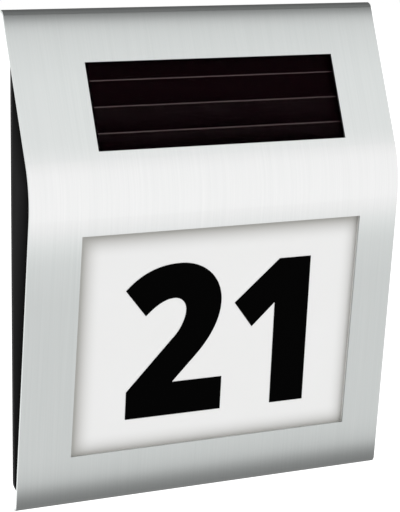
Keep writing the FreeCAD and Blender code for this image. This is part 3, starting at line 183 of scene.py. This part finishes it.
mouldedSurface = {"uneven": 0.06, "bump": 0.5, "cloud": 30, "relief": 0.01, "specular": 0.5}
mouldedFinishes = {
    "satinBlackAbs": {  # spark-eroded grain: black with a low sheen
        "pieces": ["rear_cover", "battery_door"], "colour": "#1C1C1D", "other": "#202021", "grain": 0.35,
        "roughness": 0.5, "relief": 0.02, "specular": 0.03},
    "mouldedBlackPom": {  # waxy
        "pieces": ["switch_knob"], "colour": "#1C1C1D", "grain": 0.5, "roughness": 0.4},
    "whiteFoamTape": {  # dull, with fine cells
        "pieces": ["diffuser_seal"], "colour": "#F2F1EE", "grain": 0.4, "roughness": 0.8, "relief": 0.05,
        "specular": 0.1},
    "greySiliconeCord": {"pieces": ["cover_seal"], "colour": "#2A2A2B", "grain": 1, "roughness": 0.4},
    "whiteSiliconeBead": {"pieces": ["solar_bond"], "colour": "#C9C9C4", "grain": 1, "roughness": 0.4},
    "glossWhiteAbs": {  # polished mould: a clear highlight
        "pieces": ["reflector_tray"], "colour": "#ECECEA", "grain": 1, "roughness": 0.25, "relief": 0.005},
    "mouldedEpoxy": {"pieces": ["driver_chip"], "colour": "#1B1B1B", "grain": 0.2, "roughness": 0.6},  # matt
    "groundFerrite": {  # gritty and dark grey, with paler and darker patches
        "pieces": ["inductor"], "colour": "#3A3A3C", "other": "#2F2F31", "grain": 0.3, "roughness": 0.6,
        "relief": 0.03, "specular": 0.4},
    "glazedCeramic": {"pieces": ["board_resistors"], "colour": "#26262A", "grain": 0.5, "roughness": 0.25},
    "phenolicLaminate": {  # brown pressed paper with a faint cloud
        "pieces": ["switch_base"], "colour": "#6B3A1E", "other": "#5A2F18", "grain": 0.4, "roughness": 0.5,
        "relief": 0.02},
    "shrinkSleeve": {  # thin stretched film: smooth and shiny
        "pieces": ["battery_cell"], "colour": "#2E6B47", "other": "#2A6241", "grain": 3, "roughness": 0.25},
    "redVinyl": {  # extruded wire cover: a soft gloss
        "pieces": ["solar_lead_red", "battery_lead_red", "lamp_lead_red"], "colour": "#A81414", "grain": 1,
        "roughness": 0.35},
    "blackVinyl": {
        "pieces": ["solar_lead_black", "battery_lead_black", "lamp_lead_black"], "colour": "#161616",
        "grain": 1, "roughness": 0.35},
}


def makeMoulded(name, finish):
    # a moulded or rubbed surface: a fine grain breaks up its gloss, a second colour gives it a faint cloud
    look = mouldedSurface | finish
    material, tree, shader = newMaterial(name, {
        "Base Color": fromHex(look["colour"]), "Specular IOR Level": look["specular"]})
    fine = addNode(tree, "ShaderNodeTexNoise", {"Scale": 1, "Detail": 2},
                   {"Vector": scaled(tree, look["grain"])})
    polish = addNode(tree, "ShaderNodeMapRange", {
        "To Min": look["roughness"] - look["uneven"], "To Max": look["roughness"] + look["uneven"]},
        {"Value": fine})
    grit = addNode(tree, "ShaderNodeBump", {"Strength": look["bump"], "Distance": look["relief"] * mm},
                   {"Height": fine})
    connect(tree, shader, {"Roughness": polish, "Normal": grit})
    if "other" in look:
        cloud = addNode(tree, "ShaderNodeTexNoise", {"Scale": 1, "Detail": 1},
                        {"Vector": scaled(tree, look["cloud"])})
        colours = {"Color1": fromHex(look["colour"]), "Color2": fromHex(look["other"])}
        connect(tree, shader, {"Base Color": addNode(tree, "ShaderNodeMixRGB", colours, {"Fac": cloud})})
    return material


# paintedShade is the painted shade just behind the face; from and to are millimetres behind the face over which
# it fades out
caseFinish = {"paintedShade": "#020202", "colour": "#272728", "other": "#2A2A2B", "grain": 0.35, "roughness": 0.6,
              "relief": 0.02, "specular": 0.004, "from": 8.5, "to": 20}


def makeCase(finish):
    # moulded black ABS with a spark-eroded grain, and painted shade: deep black just behind the face, where the
    # steel's overhang shades the sides, greyer towards the wall
    material = makeMoulded("mouldedBlackAbs", finish)
    tree = material.node_tree
    place = addNode(tree, "ShaderNodeTexCoord").outputs["Object"]
    depths = []
    for flat in (frontOf("solar_glass"), frontOf("diffuser")):
        inward = -flat.col[2].xyz
        along = addNode(tree, "ShaderNodeVectorMath", {"operation": "DOT_PRODUCT", 1: inward}, {0: place})
        start = {"operation": "SUBTRACT", 1: inward.dot(flat.translation)}
        depths.append(addNode(tree, "ShaderNodeMath", start, {0: along.outputs["Value"]}))
    depth = addNode(tree, "ShaderNodeMath", {"operation": "MINIMUM"}, {0: depths[0], 1: depths[1]})
    # painted shade: black near the face under the steel's overhang, fading to the plain colour between from and
    # to
    ends = {"From Min": finish["from"] * mm, "From Max": finish["to"] * mm}
    overhangShade = addNode(tree, "ShaderNodeMapRange", ends, {"Value": depth})
    base = tree.nodes["Principled BSDF"].inputs["Base Color"]
    tint = addNode(tree, "ShaderNodeMixRGB", {"Color1": fromHex(finish["paintedShade"])},
                   {"Fac": overhangShade, "Color2": base.links[0].from_socket})
    tree.links.new(tint.outputs[0], base)
    return material


platedFinishes = {
    "drawnAluminiumCan": {"pieces": ["capacitor"], "colour": "#D5D5D8", "other": "#C8C8CC", "scuff": 2,
                          "roughness": 0.3},
    "nickelPlatedSteel": {"pieces": ["switch_frame"], "colour": "#CFCCC4", "other": "#BDBAB2", "scuff": 2,
                          "roughness": 0.3},
    "nickelWashedBrass": {"pieces": ["negative_contact", "positive_contact"], "colour": "#D9BF7A",
                          "other": "#CDB27A", "scuff": 2, "roughness": 0.3},
    "nickelPlatedWire": {"pieces": ["battery_spring"], "colour": "#C9C9C9", "other": "#B5B5B5", "scuff": 1,
                         "roughness": 0.25},
}
zincFinish = {"colour": "#C9CBCE", "other": "#B3B4B2", "scuff": 1.5, "roughness": 0.3}
platedUneven = 0.08  # of the roughness, either way


def makePlated(name, finish):
    # metal with a thin plated or drawn skin: bright, with a mottled tone and small scuffs
    material, tree, shader = newMaterial(name, {"Metallic": 1})
    scuffs = addNode(tree, "ShaderNodeTexNoise", {"Scale": 1, "Detail": 4},
                     {"Vector": scaled(tree, finish["scuff"])})
    colours = {"Color1": fromHex(finish["colour"]), "Color2": fromHex(finish["other"])}
    tint = addNode(tree, "ShaderNodeMixRGB", colours, {"Fac": scuffs})
    polish = addNode(tree, "ShaderNodeMapRange", {
        "To Min": finish["roughness"] - platedUneven, "To Max": finish["roughness"] + platedUneven},
        {"Value": scuffs})
    connect(tree, shader, {"Base Color": tint, "Roughness": polish})
    return material


foamFinish = {"colour": "#1A1A1A", "hollow": (0.003, 0.003, 0.003, 1), "cell": 0.4, "deep": 0.15, "bump": 0.8}


def makeFoam(finish):
    # closed-cell foam: dull, with small round cells cut open at its edges, each cell's middle darkened with
    # painted shade
    material, tree, shader = newMaterial("blackFoamTape", {"Roughness": 0.9, "Specular IOR Level": 0.2})
    cells = addNode(tree, "ShaderNodeTexVoronoi", {"Scale": 1}, {"Vector": scaled(tree, finish["cell"])})
    cells = cells.outputs["Distance"]
    dents = addNode(tree, "ShaderNodeBump", {"Strength": finish["bump"], "Distance": finish["deep"] * mm},
                    {"Height": cells})
    # painted shade: darker towards the middle of each cut cell
    colours = {"Color1": finish["hollow"], "Color2": fromHex(finish["colour"])}
    shade = addNode(tree, "ShaderNodeMixRGB", colours, {"Fac": cells})
    connect(tree, shader, {"Base Color": shade, "Normal": dents})
    return material


# ledge is the grey of the painted border, partly ledge showing through and partly painted shade; fade is its
# width and aside moves it, in millimetres
opalFinish = {"milk": "#EDEDED", "cloud": "#EBEBEA", "ledge": "#AFAEAA", "roughness": 0.32, "patch": 25,
              "window": (117.5, 82.9), "aside": (1.5, -1.1), "fade": 8.2, "satin": 0.3, "bump": 0.2,
              "relief": 0.004}


def makeOpal(finish):
    # opal acrylic sheet: milky white with a satin face, and greyer near its edge: partly the black ledge
    # behind it showing through, partly painted shade of the recess it sits in
    material, tree, shader = newMaterial("satinOpalAcrylic", {"Roughness": finish["roughness"], "IOR": 1.49,
                                                              "Specular IOR Level": 0.1})
    milk = addNode(tree, "ShaderNodeTexNoise", {"Scale": 1, "Detail": 1},
                   {"Vector": scaled(tree, finish["patch"])})
    colours = {"Color1": fromHex(finish["milk"]), "Color2": fromHex(finish["cloud"])}
    clear = addNode(tree, "ShaderNodeMixRGB", colours, {"Fac": milk})
    flat = frontOf("diffuser").inverted()
    place = addNode(tree, "ShaderNodeMapping", {"Location": flat.translation, "Rotation": flat.to_euler()},
                    {"Vector": addNode(tree, "ShaderNodeTexCoord").outputs["Object"]})
    sides = addNode(tree, "ShaderNodeSeparateXYZ", {}, {"Vector": place}).outputs
    lit = []
    for side, wide, aside in zip(sides, finish["window"], finish["aside"]):
        moved = addNode(tree, "ShaderNodeMath", {"operation": "SUBTRACT", 1: aside * mm}, {0: side})
        reach = addNode(tree, "ShaderNodeMath", {"operation": "ABSOLUTE"}, {0: moved})
        ends = {"From Min": (wide / 2 - finish["fade"]) * mm, "From Max": wide / 2 * mm}
        near = addNode(tree, "ShaderNodeMapRange", ends, {"Value": reach})
        dark = addNode(tree, "ShaderNodeMath", {"operation": "POWER", 1: 2}, {0: near})
        lit.append(addNode(tree, "ShaderNodeMath", {"operation": "SUBTRACT", 0: 1}, {1: dark}))
    both = addNode(tree, "ShaderNodeMath", {"operation": "MULTIPLY"}, {0: lit[0], 1: lit[1]})
    # painted shade, with the ledge showing through: the border of the window greyer towards its edges
    tint = addNode(tree, "ShaderNodeMixRGB", {"Color1": fromHex(finish["ledge"])},
                   {"Fac": both, "Color2": clear})
    satin = addNode(tree, "ShaderNodeTexNoise", {"Scale": 1, "Detail": 1},
                    {"Vector": scaled(tree, finish["satin"])})
    grit = addNode(tree, "ShaderNodeBump", {"Strength": finish["bump"], "Distance": finish["relief"] * mm},
                   {"Height": satin})
    connect(tree, shader, {"Base Color": tint, "Normal": grit})
    return material


glassFinish = {"tint": "#FFFFFF", "roughness": 0.02, "index": 1.04}


def makeGlass(finish):
    # solar glass with an anti-reflection coat: clear and nearly unseen, so the dark cells behind it show
    return newMaterial("solarGlass", {"Base Color": fromHex(finish["tint"]), "Roughness": finish["roughness"],
                                      "IOR": finish["index"], "Transmission Weight": 1})[0]


cellFinish = {"film": "#080002", "cloud": "#050001", "patch": 20, "roughness": 0.35, "specular": 0.01}


def makeCells(finish):
    # amorphous silicon film: nearly black with a brown cast, a little uneven
    material, tree, shader = newMaterial("amorphousSiliconFilm", {
        "Roughness": finish["roughness"], "Specular IOR Level": finish["specular"]})
    drift = addNode(tree, "ShaderNodeTexNoise", {"Scale": 1, "Detail": 1},
                    {"Vector": scaled(tree, finish["patch"])})
    colours = {"Color1": fromHex(finish["film"]), "Color2": fromHex(finish["cloud"])}
    connect(tree, shader, {"Base Color": addNode(tree, "ShaderNodeMixRGB", colours, {"Fac": drift})})
    return material


backFinish = {"edge": "#080203", "line": "#5C5052"}


def makeBacking(finish):
    # back sheet: grey metal film behind the scribed lines, black lacquer along the border left of the cells
    material, tree, shader = newMaterial("lacqueredBackSheet", {"Roughness": 0.5, "Specular IOR Level": 0.02})
    place = addNode(tree, "ShaderNodeTexCoord").outputs["Object"]
    across = addNode(tree, "ShaderNodeSeparateXYZ", {}, {"Vector": place}).outputs["X"]
    border = {"operation": "GREATER_THAN", 1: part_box("solar_cells")[0].x}
    inCells = addNode(tree, "ShaderNodeMath", border, {0: across})
    colours = {"Color1": fromHex(finish["edge"]), "Color2": fromHex(finish["line"])}
    connect(tree, shader, {"Base Color": addNode(tree, "ShaderNodeMixRGB", colours, {"Fac": inCells})})
    return material


boardFinish = {"mask": "#0E4526", "trace": "#17693B", "pitch": 2.54, "traceLong": 3, "traceWide": 0.12,
               "offset": 0.4}  # the last three are shares of the pitch


def makeBoard(finish):
    # glass-epoxy board under green solder mask, with its copper tracks showing through as paler bands
    material, tree, shader = newMaterial("solderMaskedBoard", {"Roughness": 0.35})
    upright = addNode(tree, "ShaderNodeMapping", {"Rotation": (math.pi / 2, 0, 0)},
                      {"Vector": scaled(tree, finish["pitch"])})
    tracks = addNode(tree, "ShaderNodeTexBrick", {
        "Scale": 1, "Color1": fromHex(finish["mask"]), "Color2": fromHex(finish["mask"]),
        "Mortar": fromHex(finish["trace"]), "Mortar Size": finish["traceWide"],
        "Brick Width": finish["traceLong"], "Row Height": 1, "offset": finish["offset"]}, {"Vector": upright})
    connect(tree, shader, {"Base Color": tracks.outputs["Color"]})
    return material


lampFinish = {"resin": "#E9E4C4", "phosphor": "#E8C53A"}


def makeLamp(finish):
    # white resin lamp bodies with a yellow phosphor window underneath
    material, tree, shader = newMaterial("phosphorLampResin", {"Roughness": 0.3})
    normal = addNode(tree, "ShaderNodeNewGeometry").outputs["Normal"]
    facing = addNode(tree, "ShaderNodeSeparateXYZ", {}, {"Vector": normal}).outputs["Z"]
    below = addNode(tree, "ShaderNodeMath", {"operation": "LESS_THAN", 1: -0.5}, {0: facing})
    colours = {"Color1": fromHex(finish["resin"]), "Color2": fromHex(finish["phosphor"])}
    connect(tree, shader, {"Base Color": addNode(tree, "ShaderNodeMixRGB", colours, {"Fac": below})})
    return material


def dressNodes():
    cover(makeBrushedSteel(steelFinish), ["face_plate"])
    cover(makeCase(caseFinish), ["housing"])
    cover(makeFoam(foamFinish), ["plate_tape", "door_seal"])
    cover(makeGlass(glassFinish), ["solar_glass"])
    cover(makeCells(cellFinish), ["solar_cells"])
    cover(makeBacking(backFinish), ["solar_backing"])
    cover(makeOpal(opalFinish), ["diffuser"])
    cover(makeBoard(boardFinish), ["control_board", "led_board"])
    cover(makeLamp(lampFinish), ["leds"])
    for name, finish in mouldedFinishes.items():
        cover(makeMoulded(name, finish), finish["pieces"])
    for name, finish in platedFinishes.items():
        cover(makePlated(name, finish), finish["pieces"])
    print("CAD nodes dressed")


# the numerals: a plain heavy pair cut from black vinyl. Millimetres from the middle of the opal sheet;
# an entry of one point is a straight cut to it, and one of three a curve by its two handles

numerals = {
    "thick": 0.15,
    "lean": 1.0,  # degrees
    "steps": 24,  # along each curve
    "two": [[(-38.7, 19.3)], [(-32.6, 25.4), (-25.4, 28.3), (-16.6, 28.3)],
            [(-6.2, 28.3), (1.5, 21.6), (1.5, 12.4)], [(1.5, 5.4), (-2.4, -1.7), (-8.9, -8.2)],
            [(-18.0, -17.4)], [(3.2, -17.4)], [(3.2, -30.2)], [(-37.0, -30.2)], [(-37.0, -19.6)],
            [(-18.8, -0.7)], [(-15.5, 2.2), (-13.3, 6.8), (-13.3, 10.1)],
            [(-13.3, 13.1), (-15.6, 15.1), (-18.4, 15.1)], [(-22.6, 15.1), (-26.3, 12.6), (-30.1, 9.1)]],
    "one": [[(26.0, 26.8)], [(39.6, 26.8)], [(39.6, -30.3)], [(25.0, -30.3)], [(24.8, 9.8)], [(15.2, 1.1)],
            [(7.3, 11.0)]],
}


def makeNumeral(name, cuts, place, material):
    shape = bpy.data.curves.new(name, "CURVE")
    shape.dimensions = "2D"
    shape.fill_mode = "BOTH"
    shape.resolution_u = numerals["steps"]
    shape.extrude = numerals["thick"] * mm / 2
    spline = shape.splines.new("BEZIER")
    spline.bezier_points.add(len(cuts) - 1)
    spline.use_cyclic_u = True
    lean = math.tan(math.radians(numerals["lean"]))
    leaned = [[Vector((across - lean * up, up, 0)) * mm for across, up in cut] for cut in cuts]
    for number, cut in enumerate(leaned):
        point, before = spline.bezier_points[number], leaned[number - 1][-1]
        after = leaned[(number + 1) % len(leaned)]
        point.co = cut[-1]
        point.handle_left_type = point.handle_right_type = "FREE"
        point.handle_left = cut[1] if len(cut) == 3 else cut[-1].lerp(before, 1 / 3)
        point.handle_right = after[0] if len(after) == 3 else cut[-1].lerp(after[-1], 1 / 3)
    shape.materials.append(material)
    thing = bpy.data.objects.new(name, shape)
    bpy.context.scene.collection.objects.link(thing)
    thing.matrix_world = place @ Matrix.Translation((0, 0, shape.extrude))
    bpy.context.view_layer.update()
    return finished(thing, f"numeral_{name}", "casing")


vinylFinish = {"colour": "#020202", "grain": 0.6, "roughness": 0.5, "relief": 0.004, "specular": 0.01}


def makeNumerals():
    vinyl = makeMoulded("cutBlackVinyl", vinylFinish)
    for name in ("two", "one"):
        makeNumeral(name, numerals[name], frontOf("diffuser"), vinyl)
    print("numerals cut")


# screws: a domed head with a cross recess and a rolled thread, one tree for every size. Millimetres

smallScrew = {"headWide": 4, "headTall": 1.2, "shank": 2, "long": 4.6, "pitch": 0.8}
screwSets = {
    "cover_screws": {"body": "casing", "headWide": 5.4, "headTall": 1.8, "shank": 2.7, "long": 10,
                     "pitch": 1.1},
    "door_screws": smallScrew | {"body": "door", "long": 6.5},
    "board_screws": smallScrew | {"body": "casing"},
    "tray_screws": smallScrew | {"body": "casing"},
}
# shares of the head's height and width, of the pitch and of the length; seed turns each cross its own way
screwShape = {"sides": 28, "rings": 5, "dome": 0.45, "domePower": 2.5, "crossWide": 0.66, "crossThick": 0.17,
              "crossDeep": 0.8, "threadTall": 0.22, "turnSteps": 14, "threadFrom": 0.1, "threadLong": 0.86,
              "seed": 7}


def screwInputs(sizes, shape, facing, material):  # what the tree takes, in metres, with Z out of the head
    wide, tall, long, pitch = (sizes[key] * mm for key in ("headWide", "headTall", "long", "pitch"))
    slotLong, slotThick = shape["crossWide"] * wide, shape["crossThick"] * wide
    slotTall = 2 * shape["crossDeep"] * tall  # half of it stands above the head
    ridge = shape["threadTall"] * pitch
    return {
        "Head Radius": wide / 2, "Head Height": tall, "Head Middle": Vector((0, 0, tall / 2)),
        "Head Top": Vector((0, 0, tall)), "Dome": -shape["dome"] * tall,
        "Slot Across": Vector((slotLong, slotThick, slotTall)),
        "Slot Along": Vector((slotThick, slotLong, slotTall)),
        "Core Radius": sizes["shank"] * mm / 2 - ridge, "Shank Length": long,
        "Shank Middle": Vector((0, 0, -long / 2)), "Thread Radius": ridge,
        "Thread Turns": shape["threadLong"] * long / pitch, "Thread Length": -shape["threadLong"] * long,
        "Thread Start": Vector((0, 0, -shape["threadFrom"] * long)), "Facing": facing, "Seed": shape["seed"],
        "Material": material}


def makeScrewTree(shape, inputs):
    tree = bpy.data.node_groups.new("crossHeadScrew", "GeometryNodeTree")
    tree.interface.new_socket("Geometry", in_out="OUTPUT", socket_type="NodeSocketGeometry")
    tree.interface.new_socket("Geometry", in_out="INPUT", socket_type="NodeSocketGeometry")
    kinds = {float: "Float", int: "Int", Vector: "Vector", bpy.types.Material: "Material"}
    for label, amount in inputs.items():
        tree.interface.new_socket(label, in_out="INPUT", socket_type=f"NodeSocket{kinds[type(amount)]}")
    given = addNode(tree, "NodeGroupInput").outputs

    # the head: a disc whose top falls off towards its rim, with a cross cut into it
    disc = addNode(tree, "GeometryNodeMeshCylinder", {
        "fill_type": "TRIANGLE_FAN", "Vertices": shape["sides"], "Fill Segments": shape["rings"]},
        {"Radius": given["Head Radius"], "Depth": given["Head Height"]})
    place = addNode(tree, "GeometryNodeInputPosition")
    level = addNode(tree, "ShaderNodeVectorMath", {"operation": "MULTIPLY", 1: (1, 1, 0)}, {0: place})
    reach = addNode(tree, "ShaderNodeVectorMath", {"operation": "LENGTH"}, {0: level}).outputs["Value"]
    share = addNode(tree, "ShaderNodeMath", {"operation": "DIVIDE"}, {0: reach, 1: given["Head Radius"]})
    curve = addNode(tree, "ShaderNodeMath", {"operation": "POWER", 1: shape["domePower"]}, {0: share})
    fall = addNode(tree, "ShaderNodeMath", {"operation": "MULTIPLY"}, {0: curve, 1: given["Dome"]})
    height = addNode(tree, "ShaderNodeSeparateXYZ", {}, {"Vector": place}).outputs["Z"]
    onTop = addNode(tree, "ShaderNodeMath", {"operation": "GREATER_THAN", 1: 0}, {0: height})
    lowered = addNode(tree, "ShaderNodeCombineXYZ", {}, {"Z": fall})
    domed = addNode(tree, "GeometryNodeSetPosition", {},
                    {"Geometry": disc, "Selection": onTop, "Offset": lowered})
    head = addNode(tree, "GeometryNodeTransform", {},
                   {"Geometry": domed, "Translation": given["Head Middle"]})
    bars = addNode(tree, "GeometryNodeJoinGeometry")
    for size in ("Slot Across", "Slot Along"):
        bar = addNode(tree, "GeometryNodeMeshCube", {}, {"Size": given[size]})
        raised = addNode(tree, "GeometryNodeTransform", {},
                         {"Geometry": bar, "Translation": given["Head Top"]})
        connect(tree, bars, {0: raised})
    cut = addNode(tree, "GeometryNodeMeshBoolean", {"operation": "DIFFERENCE", "solver": "EXACT",
                                                    "Self Intersection": True}, {0: head, 1: bars})

    # the shank: a core with a ridge wound round it
    core = addNode(tree, "GeometryNodeMeshCylinder", {"Vertices": shape["sides"] // 2},
                   {"Radius": given["Core Radius"], "Depth": given["Shank Length"]})
    shank = addNode(tree, "GeometryNodeTransform", {},
                    {"Geometry": core, "Translation": given["Shank Middle"]})
    helix = addNode(tree, "GeometryNodeCurveSpiral", {"Resolution": shape["turnSteps"]}, {
        "Rotations": given["Thread Turns"], "Start Radius": given["Core Radius"],
        "End Radius": given["Core Radius"], "Height": given["Thread Length"]})
    ridge = addNode(tree, "GeometryNodeCurvePrimitiveCircle", {"mode": "RADIUS", "Resolution": 4},
                    {"Radius": given["Thread Radius"]})
    wound = addNode(tree, "GeometryNodeCurveToMesh", {"Fill Caps": True},
                    {"Curve": helix, "Profile Curve": ridge})
    thread = addNode(tree, "GeometryNodeTransform", {},
                     {"Geometry": wound, "Translation": given["Thread Start"]})
    screw = addNode(tree, "GeometryNodeJoinGeometry")
    for part in (cut, shank, thread):
        connect(tree, screw, {0: part})

    # one screw on each seat, its cross turned at random
    facing = addNode(tree, "FunctionNodeAlignRotationToVector", {"axis": "Z"}, {"Vector": given["Facing"]})
    turn = addNode(tree, "FunctionNodeRandomValue", {"data_type": "FLOAT", 3: math.tau},
                   {"Seed": given["Seed"]})
    around = addNode(tree, "ShaderNodeCombineXYZ", {}, {"Z": turn.outputs[1]})
    spin = addNode(tree, "FunctionNodeEulerToRotation", {}, {"Euler": around})
    both = addNode(tree, "FunctionNodeRotateRotation", {"rotation_space": "LOCAL"},
                   {"Rotation": facing, "Rotate By": spin})
    copies = addNode(tree, "GeometryNodeInstanceOnPoints", {},
                     {"Points": given["Geometry"], "Instance": screw, "Rotation": both})
    solid = addNode(tree, "GeometryNodeRealizeInstances", {}, {"Geometry": copies})
    dressed = addNode(tree, "GeometryNodeSetMaterial", {}, {"Geometry": solid, "Material": given["Material"]})
    addNode(tree, "NodeGroupOutput", {}, {0: dressed})
    return tree


def seatsOf(name, facing, long):  # where each screw of a CAD node has its head's underside
    seats = []
    for points in solidsOf(name):
        flatTip = min(point.dot(facing) for point in points) + 0.01 * mm
        tip = [point for point in points if point.dot(facing) < flatTip]
        seats.append(sum(tip, Vector()) / len(tip) + facing * long * mm)
    return seats


def makeScrews(sets, shape):
    zinc = makePlated("brightZincPlate", zincFinish)
    facings = {"cover_screws": toWall, "door_screws": toWall, "board_screws": -toWall,
               "tray_screws": -frontOf("diffuser").col[2].xyz}  # which way the heads face
    tree = makeScrewTree(shape, screwInputs(smallScrew, shape, toWall, zinc))
    sockets = {item.name: item.identifier for item in tree.interface.items_tree if item.in_out == "INPUT"}
    for name, sizes in sets.items():
        mesh = bpy.data.meshes.new(name)
        mesh.from_pydata(seatsOf(name, facings[name], sizes["long"]), [], [])
        thing = bpy.data.objects.new(name, mesh)
        bpy.context.scene.collection.objects.link(thing)
        modifier = thing.modifiers.new("screws", "NODES")
        modifier.node_group = tree
        for label, amount in screwInputs(sizes, shape, facings[name], zinc).items():
            modifier[sockets[label]] = amount
        piece = finished(thing, f"{name}_threaded", sizes["body"])
        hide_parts(name)
    print("screws threaded")


# floor, light and camera

floorView = {"drop": 0.55, "size": 24, "colour": "#F2F2F2", "glow": 0.6}  # metres


def makeFloor(view):
    material, tree, shader = newMaterial("paleFloor", {"Roughness": 0.9, "Specular IOR Level": 0,
                                                       "Base Color": fromHex(view["colour"])})
    shader.inputs["Emission Color"].default_value = (1, 1, 1, 1)
    glow = addNode(tree, "ShaderNodeMath", {"operation": "MULTIPLY", 1: view["glow"]},
                   {0: seenDirectly(tree)})
    connect(tree, shader, {"Emission Strength": glow})
    half = view["size"] / 2
    low = cadBounds[0][2] - view["drop"]
    mesh = bpy.data.meshes.new("floor")
    mesh.from_pydata([(-half, -half, low), (half, -half, low), (half, half, low), (-half, half, low)], [],
                     [(0, 1, 2, 3)])
    mesh.materials.append(material)
    floor = bpy.data.objects.new("floor", mesh)
    bpy.context.scene.collection.objects.link(floor)


# a board close in front of the face, which only the steel reflects: palest at the bend and dark at both ends.
# Its rows are millimetres up from the bend's middle along the face, and how bright the row is against white
faceBoard = {
    "off": 20, "beyond": 120, "over": 12, "back": 30, "roof": (0.08, 0.26), "under": 0.33,
    "rows": [(69.5, 0.2), (68, 0.26), (66.5, 0.5), (65, 0.9), (62, 1.05), (42, 1.16), (18, 1.2), (10, 1.37),
             (5, 1.45), (-15, 1.48), (-20, 1.4), (-27, 1.17), (-33, 1.04), (-48, 0.97), (-110, 0.97),
             (-117.5, 0.9), (-122.5, 0.4), (-125, 0.28)],
    "warm": (1, 0.965, 0.975, 1), "warmFrom": 1.15, "warmTo": 1.4,
}


def makeFaceBoard(board):
    black = {"Base Color": (0, 0, 0, 1), "Specular IOR Level": 0}
    material, tree, shader = newMaterial("faceBoardGlow", black)
    glow = addNode(tree, "ShaderNodeAttribute", {"attribute_name": "glow"}).outputs["Fac"]
    ends = {"From Min": board["warmFrom"], "From Max": board["warmTo"]}
    warmth = addNode(tree, "ShaderNodeMapRange", ends, {"Value": glow})
    colours = {"Color1": (1, 1, 1, 1), "Color2": board["warm"]}
    tone = addNode(tree, "ShaderNodeMixRGB", colours, {"Fac": warmth})
    connect(tree, shader, {"Emission Color": tone, "Emission Strength": glow})
    upper, lower = frontOf("solar_glass"), frontOf("diffuser")
    upperRise, lowerRise = upper.col[1].yz, lower.col[1].yz
    apart = (lower.translation - upper.translation).yz
    bend = upper.translation + upper.col[1].xyz * apart.cross(lowerRise) / upperRise.cross(lowerRise)
    bend.x = 0
    half = (cadBounds[1][0] - cadBounds[0][0]) / 2 + board["beyond"] * mm
    rows = [(along, board["off"], strength) for along, strength in board["rows"]]
    top, low = rows[0][0] + board["over"], rows[-1][0] - board["over"]
    rows = [(top, -board["back"], board["roof"][0]), (top, board["off"], board["roof"][1])] + rows
    rows += [(low, board["off"], board["under"]), (low, -board["back"], board["under"])]
    corners, glows = [], []
    for along, away, strength in rows:
        flat = upper if along > 0 else lower
        middle = bend + flat.col[1].xyz * along * mm + flat.col[2].xyz * away * mm
        corners += [middle - Vector((half, 0, 0)), middle + Vector((half, 0, 0))]
        glows += [strength, strength]
    mesh = bpy.data.meshes.new("faceBoard")
    mesh.from_pydata(corners, [], [(row, row + 1, row + 3, row + 2) for row in range(0, len(corners) - 2, 2)])
    mesh.attributes.new("glow", "FLOAT", "POINT").data.foreach_set("value", glows)
    mesh.materials.append(material)
    thing = bpy.data.objects.new("faceBoard", mesh)
    bpy.context.scene.collection.objects.link(thing)
    thing.visible_camera = thing.visible_diffuse = thing.visible_transmission = thing.visible_shadow = False


worldLight = {"soft": 0.75}


def makeWorld(light):
    world = bpy.data.worlds.new("studio")
    world.use_nodes = True
    bpy.context.scene.world = world
    tree = world.node_tree
    sky = tree.nodes["Background"]
    sky.inputs["Color"].default_value = (1, 1, 1, 1)
    strength = addNode(tree, "ShaderNodeMapRange", {"To Min": light["soft"], "To Max": 1},
                       {"Value": seenDirectly(tree)})
    connect(tree, sky, {"Strength": strength})


softBoxes = [  # name, place, what it points at, width, height, watts
    ("front", (0.6, -2.2, 0.5), (0, 0, 0), 2.5, 1.5, 10),
    ("overhead", (-0.6, -1.2, 2.0), (0, 0, 0), 1.5, 1.5, 6),
    ("behind", (0.5, 0.9, 1.1), (0, 0, 0), 0.8, 0.8, 18),
]


def makeLights():
    for name, place, aim, wide, tall, watts in softBoxes:
        lamp = bpy.data.lights.new(name, "AREA")
        lamp.shape = "RECTANGLE"
        lamp.size, lamp.size_y, lamp.energy = wide, tall, watts
        thing = bpy.data.objects.new(name, lamp)
        thing.location = place
        thing.rotation_euler = (Vector(aim) - Vector(place)).to_track_quat("-Z", "Y").to_euler()
        thing.visible_glossy = False
        bpy.context.scene.collection.objects.link(thing)


# focal length and height in pixels, sensor in millimetres
cameraView = {"place": (-0.39944, -0.71883, 0.13169), "turn": 29.549, "down": 9.392, "roll": 0.454,
              "focal": 2200, "tall": 512, "sensor": 36, "shift": (0.00063, -0.00136)}


def makeCamera(view):
    turn, down, roll = (math.radians(view[key]) for key in ("turn", "down", "roll"))
    forward = Vector((math.sin(turn) * math.cos(down), math.cos(turn) * math.cos(down), -math.sin(down)))
    right = Vector((math.cos(turn), -math.sin(turn), 0))
    up = right.cross(forward)
    rolledRight = right * math.cos(roll) + up * math.sin(roll)
    rolledUp = up * math.cos(roll) - right * math.sin(roll)
    axes = (rolledRight, rolledUp, -forward)
    lens = bpy.data.cameras.new("photoView")
    lens.sensor_fit = "VERTICAL"
    lens.sensor_height = view["sensor"]
    lens.lens = view["focal"] / view["tall"] * view["sensor"]
    lens.shift_x, lens.shift_y = view["shift"]
    camera = bpy.data.objects.new("photoView", lens)
    camera.matrix_world = Matrix.Translation(view["place"]) @ Matrix(axes).transposed().to_4x4()
    bpy.context.scene.collection.objects.link(camera)
    bpy.context.scene.camera = camera


dressNodes()
makeNumerals()
makeScrews(screwSets, screwShape)
makeFloor(floorView)
makeFaceBoard(faceBoard)
makeWorld(worldLight)
makeLights()
makeCamera(cameraView)
bpy.context.scene.view_settings.view_transform = "Standard"
print("light and camera set")
